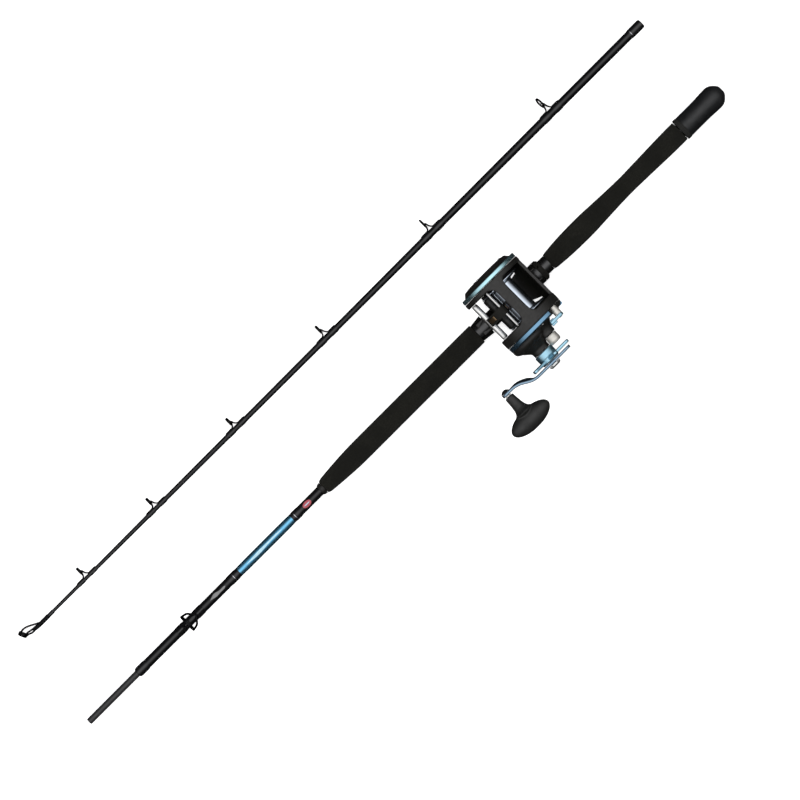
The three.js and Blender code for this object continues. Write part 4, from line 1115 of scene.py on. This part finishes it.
def knob():
    """A paddle and its stem, blended into one rubber form."""
    reach = (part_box("crank_knob")[1].y - ROD.y) / MM
    half = Vector((31.3, 13.9, 11.95))
    rows = []
    for k in range(41):
        a = pi * (1 - k / 40)
        blunt = 1 + 0.06 * sin(a) ** 2 * abs(cos(a))
        rows.append((half.x * cos(a), half.y * sin(a) * blunt if k % 40 else 0))
    paddle, faces = turned_mesh(rows, "x", Vector((0, 0, 0)), 72)
    middle_at = KNOB_AT + Vector((0, (reach - half.y) * MM, 0))
    paddle = [middle_at + Vector((v.x, v.y, v.z * half.z / half.y)) for v in paddle]
    stem = turned_mesh([(83.6, 0), (83.6, 6.1), (84.2, 6.5), (90, 6.8), (96, 7.25), (103, 8.3), (107, 10.1),
                        (111, 14.3), (116, 9), (116, 0)],
                       "y", KNOB_AT, 64)
    piece = new_piece("moulded_knob", *merge_meshes([(paddle, faces), stem]), KNOB_RUBBER, "knob",
                      "crank_knob", sharp=80)
    remesh = piece.modifiers.new("blend", "REMESH")
    remesh.mode, remesh.voxel_size, remesh.use_smooth_shade = "VOXEL", 0.7 * MM, True
    smooth = piece.modifiers.new("even", "SMOOTH")
    smooth.factor, smooth.iterations = 0.5, 14
    bpy.context.view_layer.update()
    done = bpy.data.meshes.new_from_object(piece.evaluated_get(bpy.context.evaluated_depsgraph_get()))
    piece.modifiers.clear()
    piece.data = done
    done.polygons.foreach_set("use_smooth", [True] * len(done.polygons))


knob()


# ---- floor, light and camera ---------------------------------------------
FLOOR_HALF = 30         # metres
FLOOR_DROP = 0.0004     # keeps the floor just clear of what lies on it
CAMERA_HEIGHT = 11.2    # above the rod's axis, with a long lens
CAMERA_SHIFT = (-0.0004, 0.0008)    # X and Y, so that the picture lines up with the photo
LENS = 400              # mm
DIAGONAL = 135          # degrees; turns the rod from lower left to upper right in the picture


def stage():
    corners = [(-FLOOR_HALF, -FLOOR_HALF, 0), (FLOOR_HALF, -FLOOR_HALF, 0), (FLOOR_HALF, FLOOR_HALF, 0),
               (-FLOOR_HALF, FLOOR_HALF, 0)]
    floor = bpy.data.meshes.new("floor")
    floor.from_pydata(corners, [], [(0, 1, 2, 3)])
    obj = bpy.data.objects.new("floor", floor)
    bpy.context.scene.collection.objects.link(obj)
    obj.location.z = -FLOOR_DROP
    material = bpy.data.materials.new("floor")
    material.use_nodes = True
    inputs = material.node_tree.nodes["Principled BSDF"].inputs
    for key, value in {"Base Color": (0.93, 0.93, 0.93, 1), "Roughness": 0.95, "Specular IOR Level": 0.0,
                       "Emission Color": (1, 1, 1, 1), "Emission Strength": 0.5}.items():
        inputs[key].default_value = value
    floor.materials.append(material)
    obj.visible_glossy = False


def sky():
    """White for the camera and for plain light; in reflections it's a strip along X, dim below."""
    world = bpy.data.worlds.new("studio")
    bpy.context.scene.world = world
    world.use_nodes = True
    nodes = world.node_tree.nodes
    background = nodes["Background"]
    kinds = ("Background", "TexCoord", "SeparateXYZ", "MapRange", "ValToRGB", "LightPath", "MixShader",
             "Math", "MapRange")
    mirrored, place, parts, spread, ramp, path, mix, sideways, narrow = (nodes.new("ShaderNode" + kind)
                                                                         for kind in kinds)
    background.inputs["Color"].default_value = (1, 1, 1, 1)
    background.inputs["Strength"].default_value = 1.0
    spread.inputs["From Min"].default_value = -1
    ramp.color_ramp.interpolation = "EASE"
    stops = [(0.0, 0.02), (0.48, 0.03), (0.56, 0.1), (0.68, 0.36), (0.82, 0.72), (1.0, 1.0)]
    elements = ramp.color_ramp.elements
    while len(elements) < len(stops):
        elements.new(0.5)
    for element, (position, value) in zip(elements, stops):
        element.position = position
        element.color = (value, value, value * 1.02, 1)
    sideways.operation = "ABSOLUTE"
    narrow.interpolation_type = "SMOOTHSTEP"
    for key, value in {"From Min": 0.15, "From Max": 0.85, "To Min": 1.45, "To Max": 0.12}.items():
        narrow.inputs[key].default_value = value
    for source, target in [
            (place.outputs["Generated"], parts.inputs[0]), (parts.outputs["Z"], spread.inputs["Value"]),
            (spread.outputs["Result"], ramp.inputs["Fac"]), (ramp.outputs["Color"], mirrored.inputs["Color"]),
            (parts.outputs["Y"], sideways.inputs[0]), (sideways.outputs[0], narrow.inputs["Value"]),
            (narrow.outputs["Result"], mirrored.inputs["Strength"]),
            (path.outputs["Is Glossy Ray"], mix.inputs[0]), (background.outputs[0], mix.inputs[1]),
            (mirrored.outputs[0], mix.inputs[2]),
            (mix.outputs[0], nodes["World Output"].inputs["Surface"])]:
        world.node_tree.links.new(source, target)


def lamp(name, place, target, size, power):
    light = bpy.data.lights.new(name, "AREA")
    light.shape = "DISK"
    light.size = size
    light.energy = power
    obj = bpy.data.objects.new(name, light)
    bpy.context.scene.collection.objects.link(obj)
    obj.location = place
    obj.rotation_euler = (Vector(target) - Vector(place)).to_track_quat("-Z", "Y").to_euler()
    obj.visible_camera = False
    obj.visible_glossy = False


def camera():
    data = bpy.data.cameras.new("camera")
    data.lens = LENS
    data.sensor_width = 36
    data.clip_start = 0.1
    data.clip_end = 200
    obj = bpy.data.objects.new("camera", data)
    bpy.context.scene.collection.objects.link(obj)
    obj.location = (*CAMERA_SHIFT, ROD.z + CAMERA_HEIGHT)
    obj.rotation_euler = (0, 0, radians(DIAGONAL))
    bpy.context.scene.camera = obj


stage()
sky()
lamp("overhead", (0.2, -0.3, 3.2), (0, 0, 0), 1.6, 42)
camera()
bpy.context.scene.view_settings.view_transform = "Standard"
